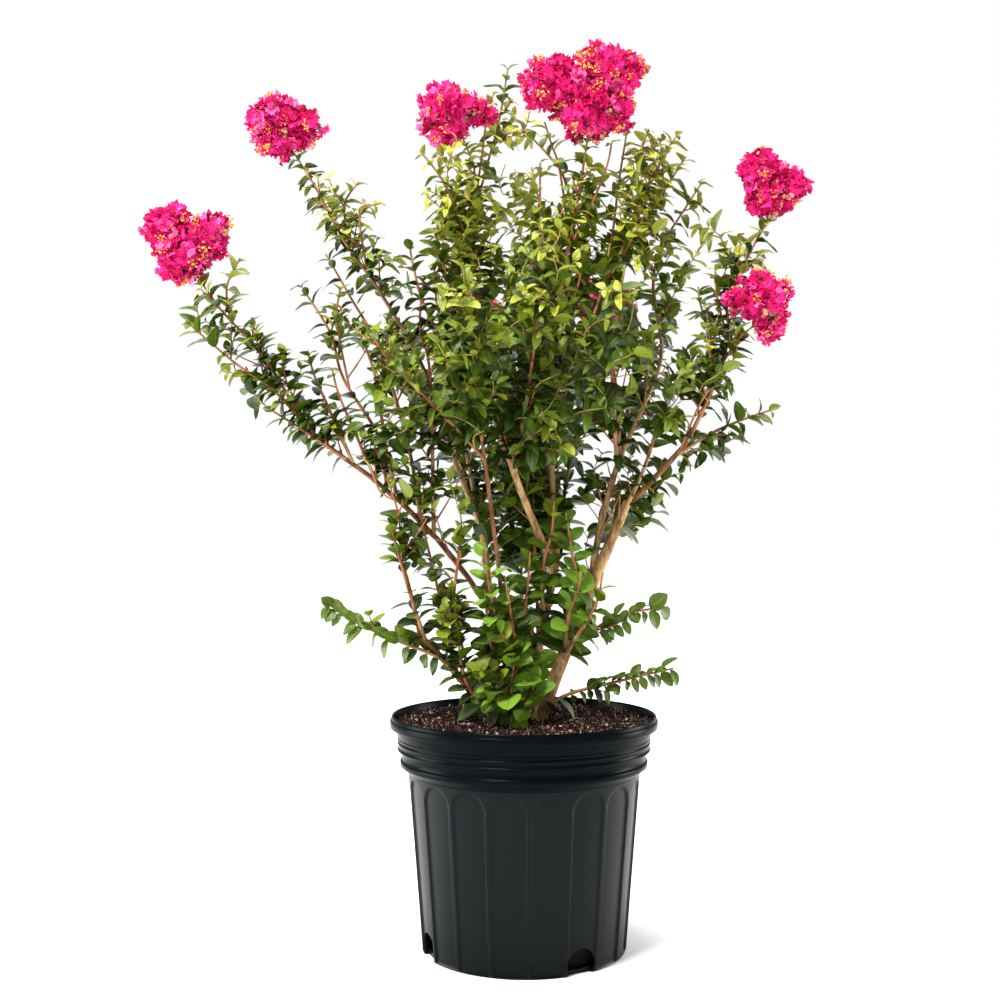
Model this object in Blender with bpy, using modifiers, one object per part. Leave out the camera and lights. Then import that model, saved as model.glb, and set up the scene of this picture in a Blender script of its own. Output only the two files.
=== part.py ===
# Crape myrtle shrub in a round fluted nursery pot.
# Metres, +Z up, origin at the centre of the pot's flat underside, the plant's front faces -Y.

import math
import random

import bmesh
import bpy
from mathutils import Matrix, Vector

# Gap between pieces that touch
GAP = 0.0003

# Edges sharper than this stay sharp when shaded smooth
SHARP = math.radians(40)

# Distance within which a baked mesh's own seams are welded
WELD = 0.00001

# Pot: outside radii and heights, from the lip down to the flat underside
POT_HEIGHT = 0.243
LIP_RADIUS = 0.139
LIP_DEPTH = 0.014
LIP_THICKNESS = 0.004
NECK_RADIUS = 0.1305
RECESS_RADIUS = 0.1265
RECESS_HEIGHT = 0.201
COLLAR_RADIUS = 0.1285
COLLAR_HEIGHT = 0.193
BAND_HALF = 0.003
SHOULDER_RADIUS = 0.1205
SHOULDER_HEIGHT = 0.184
FOOT_RADIUS = 0.106
EDGE_ROUND = 0.003
WALL = 0.0032
FLOOR = 0.003

# Inside of the pot: how much the waist under the neck and the shoulder stand further in
WAIST_INSET = 0.0045
SHOULDER_INSET = 0.0015

# Flutes: shallow arched recesses round the wall, three columns of the mesh to each
FLUTES = 18
FLUTE_TURN = math.radians(1.6)
FLUTE_DEPTH = 0.0014
FLUTE_COLUMNS = 3
ARCH_TOP = SHOULDER_HEIGHT - 0.005

# Drain holes: arched notches at the bottom corner, centred in flutes
DRAIN_FLUTES = (1, 5, 10, 14)
DRAIN_HALF_WIDTH = 0.0165
DRAIN_HEIGHT = 0.026
DRAIN_REACH = 0.016
DRAIN_SIDES = 20

# Potting mix, with a flat middle where the stems stand
MIX_TOP = 0.238
MIX_EDGE_DROP = 0.003
MIX_CLEARANCE = 0.0022
MIX_FLAT_RADIUS = 0.055
MIX_STEPS = 30

# Limbs: bevel steps and points along each, and the flare at the foot of a stem
LIMB_BEVEL_STEPS = 2
LIMB_POINTS = 6
FLARE = 1.45
FLARE_HEIGHT = 0.022
FLARE_POINT = 0.45

# Foliage masses and flower heads: mesh columns and rows, and how uneven they are
SHOOT_COLUMNS = 10
SHOOT_ROWS = 7
MASS_COLUMNS = 11
MASS_ROWS = 7
HEAD_COLUMNS = 10
HEAD_ROWS = 8
LUMPS = 5
UNEVEN = 0.16
FULL_ENDS = 0.68
TIP_TAPER = 0.30
SEED = 11

# Neighbours meet between their middles, judged by how far each reaches within this angle
FACING = math.radians(35)

# Stems: (foot x, foot y), leans to the right and to the back in degrees at foot and tip,
# length, foot and tip diameter
STEMS = {
    "stem_right": ((0.0160, 0.000), (21, 24), (4, 6), 0.245, 0.0160, 0.0098),
    "stem_centre": ((0.0025, 0.025), (10, 12), (-4, -8), 0.165, 0.0105, 0.0088),
    "stem_middle_left": ((-0.0275, 0.024), (-2, -7), (0, -4), 0.200, 0.0108, 0.0072),
    "stem_left": ((-0.0300, -0.006), (-38, -44), (-6, -8), 0.122, 0.0086, 0.0058),
    "stem_front": ((-0.0100, -0.028), (-5, -8), (-2, -6), 0.290, 0.0052, 0.0036),
}

# Boughs: parent limb, share of the parent's length where it leaves, the same leans,
# length, foot and tip diameter
BOUGHS = {
    "bough_right_fork": ("stem_right", 0.62, (6, 21), (14, 0), 0.150, 0.0080, 0.0060),
    "bough_right_arm": ("stem_right", 0.975, (46, 40), (-8, -8), 0.095, 0.0070, 0.0050),
    "bough_centre": ("stem_centre", 0.975, (-28, -19), (-22, -14), 0.118, 0.0084, 0.0066),
    "bough_left_arm": ("stem_middle_left", 0.57, (-30, -57), (-22, -8), 0.242, 0.0062, 0.0046),
    "bough_left_shoot": ("stem_left", 0.97, (-10, -16), (-16, -4), 0.075, 0.0050, 0.0040),
}

# Shoots and arms of leaves: foot, tip, half width, half depth
SHOOTS = {
    "foliage_left_arm_tip": ((-0.225, -0.035, 0.554), (-0.340, -0.035, 0.694), 0.056, 0.042),
    "foliage_left_arm": ((-0.097, -0.020, 0.489), (-0.268, -0.030, 0.571), 0.036, 0.038),
    "foliage_left_spire": ((-0.086, 0.020, 0.592), (-0.244, 0.030, 0.846), 0.045, 0.043),
    "foliage_left_inner": ((-0.104, 0.020, 0.559), (-0.232, 0.010, 0.715), 0.052, 0.046),
    "foliage_upper_left": ((-0.046, 0.005, 0.629), (-0.072, 0.022, 0.898), 0.062, 0.056),
    "foliage_top_left": ((-0.003, 0.060, 0.683), (-0.017, 0.055, 0.957), 0.044, 0.046),
    "foliage_top_middle": ((0.047, 0.030, 0.647), (0.065, -0.005, 0.863), 0.052, 0.055),
    "foliage_top_right": ((0.089, -0.010, 0.627), (0.146, 0.000, 0.865), 0.055, 0.055),
    "foliage_right_spire": ((0.132, 0.034, 0.612), (0.196, 0.030, 0.817), 0.042, 0.044),
    "foliage_right_arm": ((0.165, -0.024, 0.534), (0.262, 0.006, 0.826), 0.046, 0.044),
    "foliage_right_side": ((0.116, -0.046, 0.542), (0.226, -0.041, 0.637), 0.056, 0.054),
    "foliage_right_low": ((0.115, 0.030, 0.477), (0.278, 0.025, 0.564), 0.030, 0.038),
    "foliage_sprig_left": ((-0.049, -0.020, 0.307), (-0.215, -0.010, 0.361), 0.026, 0.024),
    "foliage_sprig_right": ((0.055, 0.001, 0.316), (0.153, 0.000, 0.359), 0.020, 0.020),
    "foliage_sprig_low": ((0.027, 0.000, 0.254), (0.165, 0.000, 0.293), 0.017, 0.017),
    "foliage_back_left": ((-0.060, 0.080, 0.560), (-0.054, 0.244, 0.678), 0.062, 0.060),
    "foliage_back_right": ((0.070, 0.080, 0.560), (0.095, 0.230, 0.680), 0.062, 0.060),
    "foliage_back_low": ((0.005, 0.070, 0.470), (-0.005, 0.220, 0.570), 0.065, 0.055),
    "foliage_back_top": ((0.020, 0.100, 0.640), (0.020, 0.110, 0.860), 0.065, 0.060),
    "foliage_back_middle": ((0.010, 0.120, 0.600), (0.010, 0.240, 0.790), 0.055, 0.055),
    "foliage_back_far_left": ((-0.080, 0.075, 0.555), (-0.170, 0.185, 0.695), 0.052, 0.050),
    "foliage_back_far_right": ((0.105, 0.075, 0.560), (0.175, 0.185, 0.735), 0.052, 0.050),
    "foliage_front_left": ((-0.045, -0.070, 0.520), (-0.060, -0.155, 0.700), 0.060, 0.055),
    "foliage_front_right": ((0.065, -0.070, 0.530), (0.095, -0.150, 0.700), 0.060, 0.055),
    "foliage_front_middle": ((0.018, -0.090, 0.600), (0.016, -0.150, 0.745), 0.050, 0.048),
    "foliage_front_far_left": ((-0.110, -0.050, 0.520), (-0.165, -0.120, 0.650), 0.046, 0.044),
}

# Rounder masses of leaves: centre and half sizes
MASSES = {
    "foliage_centre_left": ((-0.081, 0.000, 0.590), (0.085, 0.085, 0.105)),
    "foliage_centre_front": ((0.012, -0.055, 0.600), (0.075, 0.065, 0.115)),
    "foliage_centre_right": ((0.105, 0.010, 0.590), (0.078, 0.080, 0.105)),
    "foliage_centre_back": ((0.015, 0.095, 0.600), (0.120, 0.075, 0.120)),
    "foliage_low_left": ((-0.098, -0.035, 0.445), (0.052, 0.050, 0.072)),
    "foliage_low_middle": ((-0.006, 0.045, 0.460), (0.070, 0.060, 0.085)),
    "foliage_low_right": ((0.100, 0.035, 0.475), (0.055, 0.055, 0.060)),
    "foliage_foot": ((-0.018, -0.048, 0.300), (0.048, 0.032, 0.060)),
    "foliage_foot_left": ((-0.080, -0.035, 0.350), (0.042, 0.034, 0.040)),
    "foliage_foot_right": ((0.058, 0.012, 0.368), (0.040, 0.038, 0.048)),
}

# Flower heads: centre, half sizes, and lobes as (x, z, radius) in shares of the half width
HEADS = {
    "blossom_far_left": (
        (-0.344, -0.035, 0.728), (0.047, 0.040, 0.045),
        ((-0.40, 0.35, 0.60), (0.42, 0.15, 0.58), (0.05, -0.42, 0.60)),
    ),
    "blossom_left": (
        (-0.252, 0.030, 0.861), (0.042, 0.036, 0.038),
        ((-0.15, 0.15, 0.85), (0.50, 0.05, 0.50), (0.00, -0.45, 0.55)),
    ),
    "blossom_top_left": (
        (-0.070, 0.020, 0.872), (0.043, 0.036, 0.038),
        ((-0.15, 0.15, 0.85), (0.52, 0.00, 0.48), (-0.05, -0.45, 0.55)),
    ),
    "blossom_top": (
        (0.062, -0.020, 0.886), (0.067, 0.052, 0.056),
        ((-0.42, 0.20, 0.58), (0.42, 0.36, 0.58), (0.10, -0.38, 0.62)),
    ),
    "blossom_right": (
        (0.259, 0.000, 0.795), (0.040, 0.036, 0.041),
        ((-0.30, 0.40, 0.62), (0.45, -0.05, 0.55), (-0.25, -0.40, 0.60)),
    ),
    "blossom_low_right": (
        (0.237, -0.044, 0.661), (0.036, 0.036, 0.039),
        ((0.10, 0.20, 0.82), (-0.50, -0.10, 0.48), (0.20, -0.45, 0.55)),
    ),
    "blossom_back_left": (
        (-0.055, 0.252, 0.690), (0.042, 0.038, 0.040),
        ((-0.20, 0.20, 0.80), (0.45, 0.00, 0.55), (0.00, -0.45, 0.55)),
    ),
    "blossom_back_right": (
        (0.098, 0.244, 0.700), (0.042, 0.038, 0.042),
        ((-0.35, 0.25, 0.62), (0.40, 0.20, 0.60), (0.00, -0.45, 0.55)),
    ),
}


def clearScene():
    for thing in list(bpy.data.objects):
        bpy.data.objects.remove(thing, do_unlink=True)


def makeCollection(name):
    collection = bpy.data.collections.new(name)
    bpy.context.scene.collection.children.link(collection)
    return collection


def makeMaterial(name, color, roughness):
    material = bpy.data.materials.new(name)
    material.use_nodes = True
    shader = material.node_tree.nodes["Principled BSDF"]
    shader.inputs["Base Color"].default_value = (*color, 1.0)
    shader.inputs["Roughness"].default_value = roughness
    shader.inputs["Metallic"].default_value = 0.0
    material.diffuse_color = (*color, 1.0)
    return material


def addObject(name, data, collection, material=None):
    item = bpy.data.objects.new(name, data)
    collection.objects.link(item)
    if material is not None:
        data.materials.clear()
        data.materials.append(material)
    return item


def bakeMesh(item):
    # the object as evaluated, as a plain mesh in world space with its seams welded
    bpy.context.view_layer.update()
    graph = bpy.context.evaluated_depsgraph_get()
    mesh = bpy.data.meshes.new_from_object(item.evaluated_get(graph))
    mesh.transform(item.matrix_world)
    work = bmesh.new()
    work.from_mesh(mesh)
    bmesh.ops.remove_doubles(work, verts=work.verts, dist=WELD)
    work.to_mesh(mesh)
    work.free()
    return mesh


def turnedObject(name, profile, steps, collection, material):
    # a profile of (radius, height) points turned about Z with a Screw modifier
    mesh = bpy.data.meshes.new(name)
    points = [(radius, 0.0, height) for radius, height in profile]
    mesh.from_pydata(points, [(i, i + 1) for i in range(len(points) - 1)], [])
    item = addObject(name, mesh, collection, material)
    screw = item.modifiers.new("Turn", "SCREW")
    screw.steps = steps
    screw.render_steps = steps
    screw.use_merge_vertices = True
    screw.merge_threshold = 0.0001
    baked = bakeMesh(item)
    item.modifiers.clear()
    item.data = baked
    return item


def cutWith(item, cutter):
    cut = item.modifiers.new("Cut " + cutter.name, "BOOLEAN")
    cut.operation = "DIFFERENCE"
    cut.solver = "EXACT"
    cut.object = cutter


def applyCuts(item):
    mesh = bakeMesh(item)
    item.modifiers.clear()
    item.data = mesh
    keepLargestPiece(mesh)


def keepLargestPiece(mesh):
    # drops the small offcuts that a limb leaves where it grazes a mass
    work = bmesh.new()
    work.from_mesh(mesh)
    left = set(work.verts)
    pieces = []
    while left:
        first = left.pop()
        piece = {first}
        edge = [first]
        while edge:
            vert = edge.pop()
            for link in vert.link_edges:
                other = link.other_vert(vert)
                if other in left:
                    left.discard(other)
                    piece.add(other)
                    edge.append(other)
        pieces.append(piece)
    pieces.sort(key=len, reverse=True)
    for piece in pieces[1:]:
        bmesh.ops.delete(work, geom=list(piece), context="VERTS")
    work.to_mesh(mesh)
    work.free()


def potProfile():
    throat = NECK_RADIUS - WALL
    waist = throat - WAIST_INSET
    neckFoot = RECESS_HEIGHT + 2 * BAND_HALF
    neckTop = POT_HEIGHT - LIP_DEPTH
    return [
        (0.0, FLOOR),
        (FOOT_RADIUS - WALL - EDGE_ROUND, FLOOR),
        (SHOULDER_RADIUS - WALL - SHOULDER_INSET, SHOULDER_HEIGHT),
        (waist, COLLAR_HEIGHT),
        (waist, RECESS_HEIGHT),
        (throat, neckFoot),
        (LIP_RADIUS - LIP_THICKNESS, POT_HEIGHT),
        (LIP_RADIUS - LIP_THICKNESS / 3, POT_HEIGHT),
        (LIP_RADIUS, POT_HEIGHT - EDGE_ROUND),
        (LIP_RADIUS, neckTop),
        (NECK_RADIUS, neckTop),
        (NECK_RADIUS, neckFoot),
        (RECESS_RADIUS, RECESS_HEIGHT + BAND_HALF),
        (RECESS_RADIUS, RECESS_HEIGHT - BAND_HALF),
        (COLLAR_RADIUS, COLLAR_HEIGHT + BAND_HALF),
        (COLLAR_RADIUS, COLLAR_HEIGHT - BAND_HALF),
        (SHOULDER_RADIUS, SHOULDER_HEIGHT),
        (wallRadius(ARCH_TOP), ARCH_TOP),
        (wallRadius(EDGE_ROUND), EDGE_ROUND),
        (FOOT_RADIUS - EDGE_ROUND, 0.0),
        (0.0, 0.0),
    ]


def wallRadius(height):
    # outside of the tapered wall, between the underside and the shoulder
    return FOOT_RADIUS + (SHOULDER_RADIUS - FOOT_RADIUS) * height / SHOULDER_HEIGHT


def pressFlutes(mesh):
    # moves the outside of the wall inwards between the ribs, below the arches
    for vert in mesh.vertices:
        radius = math.hypot(vert.co.x, vert.co.y)
        if not EDGE_ROUND / 2 < vert.co.z < ARCH_TOP + GAP:
            continue
        if radius < wallRadius(vert.co.z) - WALL / 2:
            continue
        angle = math.atan2(vert.co.y, vert.co.x)
        column = (angle - firstRib()) / (2 * math.pi) * FLUTES * FLUTE_COLUMNS
        if round(column) % FLUTE_COLUMNS == 0:
            continue
        scale = (radius - FLUTE_DEPTH) / radius
        vert.co.x *= scale
        vert.co.y *= scale


def firstRib():
    # angle of a rib from +X, ribs being counted from the front, -Y
    return -math.pi / 2 + FLUTE_TURN


def flutePlace(number):
    # angle of a flute's middle from +X
    return firstRib() + (number + 0.5) * 2 * math.pi / FLUTES


def drainCutter(number, cutters):
    angle = flutePlace(number)
    away = Vector((math.cos(angle), math.sin(angle), 0.0))
    bpy.ops.mesh.primitive_cylinder_add(
        vertices=DRAIN_SIDES, radius=DRAIN_HALF_WIDTH, depth=2 * DRAIN_REACH)
    cutter = bpy.context.active_object
    cutter.name = f"drain_cutter_{number}"
    for owner in list(cutter.users_collection):
        owner.objects.unlink(cutter)
    cutters.objects.link(cutter)
    cutter.location = away * FOOT_RADIUS + Vector((0, 0, DRAIN_HEIGHT - DRAIN_HALF_WIDTH))
    cutter.rotation_euler = (math.pi / 2, 0.0, angle + math.pi / 2)
    hideCutter(cutter)
    return cutter


def hideCutter(cutter):
    cutter.hide_render = True
    cutter.display_type = "WIRE"


def makePot(plant, cutters):
    steps = FLUTES * FLUTE_COLUMNS
    material = makeMaterial("pot", (0.012, 0.016, 0.018), 0.35)
    pot = turnedObject("pot", potProfile(), steps, plant, material)
    pot.data.transform(Matrix.Rotation(firstRib(), 4, "Z"))
    pressFlutes(pot.data)
    for number in DRAIN_FLUTES:
        cutWith(pot, drainCutter(number, cutters))
    return pot


def makeMix(plant):
    inset = WALL + MIX_CLEARANCE
    profile = [
        (0.0, MIX_TOP),
        (MIX_FLAT_RADIUS, MIX_TOP),
        (NECK_RADIUS - inset - EDGE_ROUND / 2, MIX_TOP - MIX_EDGE_DROP),
        (NECK_RADIUS - inset - WAIST_INSET, COLLAR_HEIGHT + BAND_HALF),
        (SHOULDER_RADIUS - inset - 2 * SHOULDER_INSET, SHOULDER_HEIGHT - 2 * EDGE_ROUND),
        (FOOT_RADIUS - inset - 1.5 * EDGE_ROUND, FLOOR + GAP),
        (0.0, FLOOR + GAP),
    ]
    material = makeMaterial("mix", (0.05, 0.03, 0.024), 0.95)
    return turnedObject("potting_mix", profile, MIX_STEPS, plant, material)


def leanVector(right, back):
    # a unit vector from its leans off the vertical, in degrees
    across = math.tan(math.radians(right))
    deep = math.tan(math.radians(back))
    return Vector((across, deep, 1.0)).normalized()


def limbPath(start, rightLeans, backLeans, length):
    # points along a limb whose lean changes evenly from foot to tip
    points = [Vector(start)]
    steps = LIMB_POINTS - 1
    for i in range(steps):
        share = (i + 0.5) / steps
        right = rightLeans[0] + (rightLeans[1] - rightLeans[0]) * share
        back = backLeans[0] + (backLeans[1] - backLeans[0]) * share
        points.append(points[-1] + leanVector(right, back) * (length / steps))
    return points


def limbRadius(share, foot, tip, length, flared):
    radius = (foot + (tip - foot) * share) / 2
    if flared:
        near = max(0.0, 1.0 - share * length / FLARE_HEIGHT)
        radius *= 1.0 + (FLARE - 1.0) * near * near
    return radius


def limbCurve(name, points, radii, collection, material=None):
    curve = bpy.data.curves.new(name, "CURVE")
    curve.dimensions = "3D"
    curve.bevel_depth = 1.0
    curve.bevel_resolution = LIMB_BEVEL_STEPS
    curve.use_fill_caps = True
    spline = curve.splines.new("POLY")
    spline.points.add(len(points) - 1)
    for spot, place, radius in zip(spline.points, points, radii):
        spot.co = (*place, 1.0)
        spot.radius = radius
    item = addObject(name, curve, collection)
    mesh = bakeMesh(item)
    bpy.data.objects.remove(item, do_unlink=True)
    return addObject(name, mesh, collection, material)


def cutLevel(item, height):
    # a flat cut at the given height, closed again
    work = bmesh.new()
    work.from_mesh(item.data)
    everything = list(work.verts) + list(work.edges) + list(work.faces)
    bmesh.ops.bisect_plane(
        work, geom=everything, plane_co=(0, 0, height), plane_no=(0, 0, 1), clear_inner=True)
    rim = [edge for edge in work.edges if edge.is_boundary]
    bmesh.ops.holes_fill(work, edges=rim, sides=0)
    bmesh.ops.recalc_face_normals(work, faces=work.faces)
    work.to_mesh(item.data)
    work.free()


class Limb:
    # a limb's middle line and radii, kept so that others can start from it and be cut by it
    def __init__(self, name, start, rightLeans, backLeans, length, foot, tip, flared):
        self.name = name
        self.points = limbPath(start, rightLeans, backLeans, length)
        last = len(self.points) - 1
        shares = [i / last for i in range(last + 1)]
        if flared:
            # one more point close to the foot, so that the flare has a shape
            near = FLARE_HEIGHT / length * FLARE_POINT
            shares.insert(1, near)
            self.points.insert(1, self.points[0].lerp(self.points[1], near * last))
        self.radii = [limbRadius(share, foot, tip, length, flared) for share in shares]
        self.shares = shares

    def at(self, share):
        for i in range(len(self.shares) - 1):
            low, high = self.shares[i], self.shares[i + 1]
            if share <= high:
                return self.points[i].lerp(self.points[i + 1], (share - low) / (high - low))
        return self.points[-1].copy()

    def cutter(self, cutters):
        # the limb made fatter by the gap and longer at its tip by the same
        ahead = (self.points[-1] - self.points[-2]).normalized()
        points = self.points[:-1] + [self.points[-1] + ahead * GAP]
        cutter = limbCurve(self.name + "_cutter", points, [r + GAP for r in self.radii], cutters)
        hideCutter(cutter)
        return cutter


def makeLimbs(plant, cutters):
    bark = makeMaterial("bark", (0.50, 0.32, 0.18), 0.8)
    limbs = {}
    for name, (foot, rights, backs, length, wide, narrow) in STEMS.items():
        down = -leanVector(rights[0], backs[0])
        start = Vector((*foot, MIX_TOP)) + down * wide
        limbs[name] = Limb(name, start, rights, backs, length + wide, wide, narrow, True)
    for name, (parent, share, rights, backs, length, wide, narrow) in BOUGHS.items():
        start = limbs[parent].at(share)
        limbs[name] = Limb(name, start, rights, backs, length, wide, narrow, False)
    solids = {}
    cutterOf = {}
    for name, limb in limbs.items():
        solids[name] = limbCurve(name, limb.points, limb.radii, plant, bark)
        cutterOf[name] = limb.cutter(cutters)
    for name in STEMS:
        cutLevel(solids[name], MIX_TOP + GAP)
    for name, row in BOUGHS.items():
        cutWith(solids[name], cutterOf[row[0]])
        applyCuts(solids[name])
    return solids, cutterOf


class Mass:
    # a closed uneven solid seen from one inner point: every vertex lies on a ray from there
    def __init__(self, name, centre, rays, faces, material):
        self.name = name
        self.centre = Vector(centre)
        self.rays = rays
        self.faces = faces
        self.material = material

    def reach(self, way):
        return max(ray.dot(way) for ray in self.rays)

    def facing(self, way):
        # reach of the part that faces the given way
        return max(ray.dot(way) for ray in self.rays if ray.angle(way) < FACING)

    def trim(self, way, distance):
        # pulls back what lies past a plane across the given way
        for ray in self.rays:
            along = ray.dot(way)
            if along > distance:
                ray *= distance / along


def ballRays(columns, rows):
    work = bmesh.new()
    bmesh.ops.create_uvsphere(work, u_segments=columns, v_segments=rows, radius=1.0)
    bmesh.ops.triangulate(work, faces=work.faces)
    rays = [vert.co.copy() for vert in work.verts]
    faces = [[vert.index for vert in face.verts] for face in work.faces]
    work.free()
    return rays, faces


def fullRay(ray):
    # rounder shoulders: the rings near the ends are widened
    ring = math.hypot(ray.x, ray.y)
    if ring < WELD:
        return ray.copy()
    wide = ring ** FULL_ENDS / ring
    return Vector((ray.x * wide, ray.y * wide, ray.z))


def unevenness(generator):
    # a few random lumps, each a way and a height
    lumps = []
    for _ in range(LUMPS):
        way = Vector([generator.gauss(0.0, 1.0) for _ in range(3)]).normalized()
        lumps.append((way, generator.uniform(0.4, 1.0)))
    return lumps


def lumpFactor(lumps, ray):
    rise = sum(high * max(0.0, ray.dot(way)) ** 4 for way, high in lumps)
    return 1.0 - UNEVEN + UNEVEN * min(1.6, rise)


def shootMass(name, row, generator, material):
    # an egg-shaped mass along a shoot, thinner towards its tip
    foot, tip, halfWidth, halfDepth = Vector(row[0]), Vector(row[1]), row[2], row[3]
    axis = tip - foot
    up = axis.normalized()
    side = Vector((0, 1, 0)).cross(up).normalized()
    deep = up.cross(side).normalized()
    lumps = unevenness(generator)
    rays, faces = ballRays(SHOOT_COLUMNS, SHOOT_ROWS)
    shaped = []
    for ray in rays:
        narrow = 1.0 - TIP_TAPER * (ray.z + 1.0) / 2
        factor = lumpFactor(lumps, ray) * narrow
        full = fullRay(ray)
        place = side * (full.x * halfWidth * factor) + deep * (full.y * halfDepth * factor)
        shaped.append(place + axis * (0.5 * ray.z))
    return Mass(name, (foot + tip) / 2, shaped, faces, material)


def roundMass(name, row, generator, material):
    centre, half = row
    lumps = unevenness(generator)
    rays, faces = ballRays(MASS_COLUMNS, MASS_ROWS)
    shaped = []
    for ray in rays:
        factor = lumpFactor(lumps, ray)
        full = fullRay(ray)
        shaped.append(Vector([full[i] * half[i] * factor for i in range(3)]))
    return Mass(name, centre, shaped, faces, material)


def lobeReach(way, lobes):
    # distance from the middle to the outside of several balls that all hold the middle
    best = 0.0
    for across, height, radius in lobes:
        middle = Vector((across, 0.0, height))
        along = way.dot(middle)
        inside = along * along - middle.length_squared + radius * radius
        if inside > 0:
            best = max(best, along + math.sqrt(inside))
    return best


def headMass(name, row, material):
    centre, half, lobes = row
    rays, faces = ballRays(HEAD_COLUMNS, HEAD_ROWS)
    shaped = []
    for ray in rays:
        reach = lobeReach(ray, lobes)
        shaped.append(Vector([ray[i] * half[i] * reach for i in range(3)]))
    return Mass(name, centre, shaped, faces, material)


def partMasses(masses):
    # neighbours meet at a plane between their middles, half a gap back on each side
    for i, one in enumerate(masses):
        for other in masses[i + 1:]:
            apart = other.centre - one.centre
            distance = apart.length
            way = apart / distance
            if one.reach(way) + other.reach(-way) <= distance:
                continue
            mine = one.facing(way)
            theirs = other.facing(-way)
            plane = distance * mine / (mine + theirs)
            one.trim(way, plane - GAP / 2)
            other.trim(-way, distance - plane - GAP / 2)


def boxOf(item):
    points = [vert.co for vert in item.data.vertices]
    low = Vector([min(point[i] for point in points) for i in range(3)])
    high = Vector([max(point[i] for point in points) for i in range(3)])
    return low, high


def boxesMeet(one, other):
    lowOne, highOne = boxOf(one)
    lowOther, highOther = boxOf(other)
    return all(lowOne[i] < highOther[i] and lowOther[i] < highOne[i] for i in range(3))


def makeMasses(plant, cutterOf):
    generator = random.Random(SEED)
    leaves = makeMaterial("leaves", (0.07, 0.16, 0.02), 0.6)
    petals = makeMaterial("petals", (0.80, 0.02, 0.16), 0.6)
    masses = [roundMass(name, row, generator, leaves) for name, row in MASSES.items()]
    masses += [shootMass(name, row, generator, leaves) for name, row in SHOOTS.items()]
    masses += [headMass(name, row, petals) for name, row in HEADS.items()]
    partMasses(masses)
    for mass in masses:
        mesh = bpy.data.meshes.new(mass.name)
        mesh.from_pydata([mass.centre + ray for ray in mass.rays], [], mass.faces)
        item = addObject(mass.name, mesh, plant, mass.material)
        near = [cutter for cutter in cutterOf.values() if boxesMeet(item, cutter)]
        for cutter in near:
            cutWith(item, cutter)
        if near:
            applyCuts(item)


def main():
    clearScene()
    plant = makeCollection("crape_myrtle")
    cutters = makeCollection("cutters")
    makePot(plant, cutters)
    makeMix(plant)
    solids, cutterOf = makeLimbs(plant, cutters)
    makeMasses(plant, cutterOf)
    for item in plant.objects:
        item.data.shade_smooth()
        item.data.set_sharp_from_angle(angle=SHARP)
    bpy.context.view_layer.update()


main()
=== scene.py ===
# Crape myrtle in a fluted nursery pot: the looks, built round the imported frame
import math
import random

import bmesh
import bpy
import numpy as np
from mathutils import Matrix, Vector
from mathutils.bvhtree import BVHTree


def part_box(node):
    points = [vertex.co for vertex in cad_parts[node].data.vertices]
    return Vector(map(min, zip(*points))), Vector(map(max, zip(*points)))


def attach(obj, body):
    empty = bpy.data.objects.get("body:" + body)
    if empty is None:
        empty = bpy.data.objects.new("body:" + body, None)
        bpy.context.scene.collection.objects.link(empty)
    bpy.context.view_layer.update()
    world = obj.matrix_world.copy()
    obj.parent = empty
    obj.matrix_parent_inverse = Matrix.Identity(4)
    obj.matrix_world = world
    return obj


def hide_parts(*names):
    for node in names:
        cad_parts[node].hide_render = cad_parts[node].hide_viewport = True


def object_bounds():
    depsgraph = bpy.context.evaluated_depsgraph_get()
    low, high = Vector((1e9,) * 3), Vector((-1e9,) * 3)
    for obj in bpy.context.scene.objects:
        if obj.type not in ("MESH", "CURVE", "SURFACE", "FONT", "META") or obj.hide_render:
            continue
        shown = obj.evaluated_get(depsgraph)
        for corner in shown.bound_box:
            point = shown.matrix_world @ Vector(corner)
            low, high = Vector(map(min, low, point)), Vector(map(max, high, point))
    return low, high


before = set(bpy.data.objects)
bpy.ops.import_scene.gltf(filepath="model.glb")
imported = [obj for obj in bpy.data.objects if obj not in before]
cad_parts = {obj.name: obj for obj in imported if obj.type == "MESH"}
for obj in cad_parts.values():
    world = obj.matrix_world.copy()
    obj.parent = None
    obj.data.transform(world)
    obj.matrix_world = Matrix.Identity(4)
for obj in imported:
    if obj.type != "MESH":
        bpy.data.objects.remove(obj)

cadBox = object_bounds()
upward = Vector((0, 0, 1))

view = {
    "place": (-0.0248, -1.50, 0.4655),
    "focalPixels": 1439.5,       # focal length in pixels of a frame this many pixels wide
    "framePixels": 1000,
    "sensor": 36.0,
}

studio = {
    "sky": 0.50,                 # soft light from all round
    "backdrop": 1.0,             # what the camera sees behind
    "floorSize": 14.0, "floorGlow": 0.70, "glowFrom": 0.105, "glowTo": 0.24,
    "paper": 0.92, "paperRough": 0.9, "paperTones": (0.90, 0.94), "paperGrain": 3.0,
    "lamps": {                   # place, aimed at, size, watts
        "key": ((-0.9, -1.2, 2.4), (0.0, 0.0, 0.50), 0.8, 104.0),
        "left": ((-1.7, 0.1, 0.45), (0.0, 0.0, 0.30), 1.0, 29.0),
        "right": ((1.7, 0.4, 0.45), (0.0, 0.0, 0.30), 0.8, 23.0),
        "top": ((0.2, 0.4, 2.4), (0.0, 0.0, 0.6), 1.2, 34.0),
    },
}


# Small helpers
def addPiece(name, mesh):
    piece = bpy.data.objects.new(name, mesh)
    bpy.context.scene.collection.objects.link(piece)
    return piece


def newMesh(name, points, edges, faces):
    mesh = bpy.data.meshes.new(name)
    mesh.from_pydata(points, edges, faces)
    return mesh


def setValues(mesh, name, kind, domain, values):
    # a named attribute with a value for each point or face
    field = "vector" if kind == "FLOAT_VECTOR" else "value"
    mesh.attributes.new(name, kind, domain).data.foreach_set(field, values)


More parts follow.
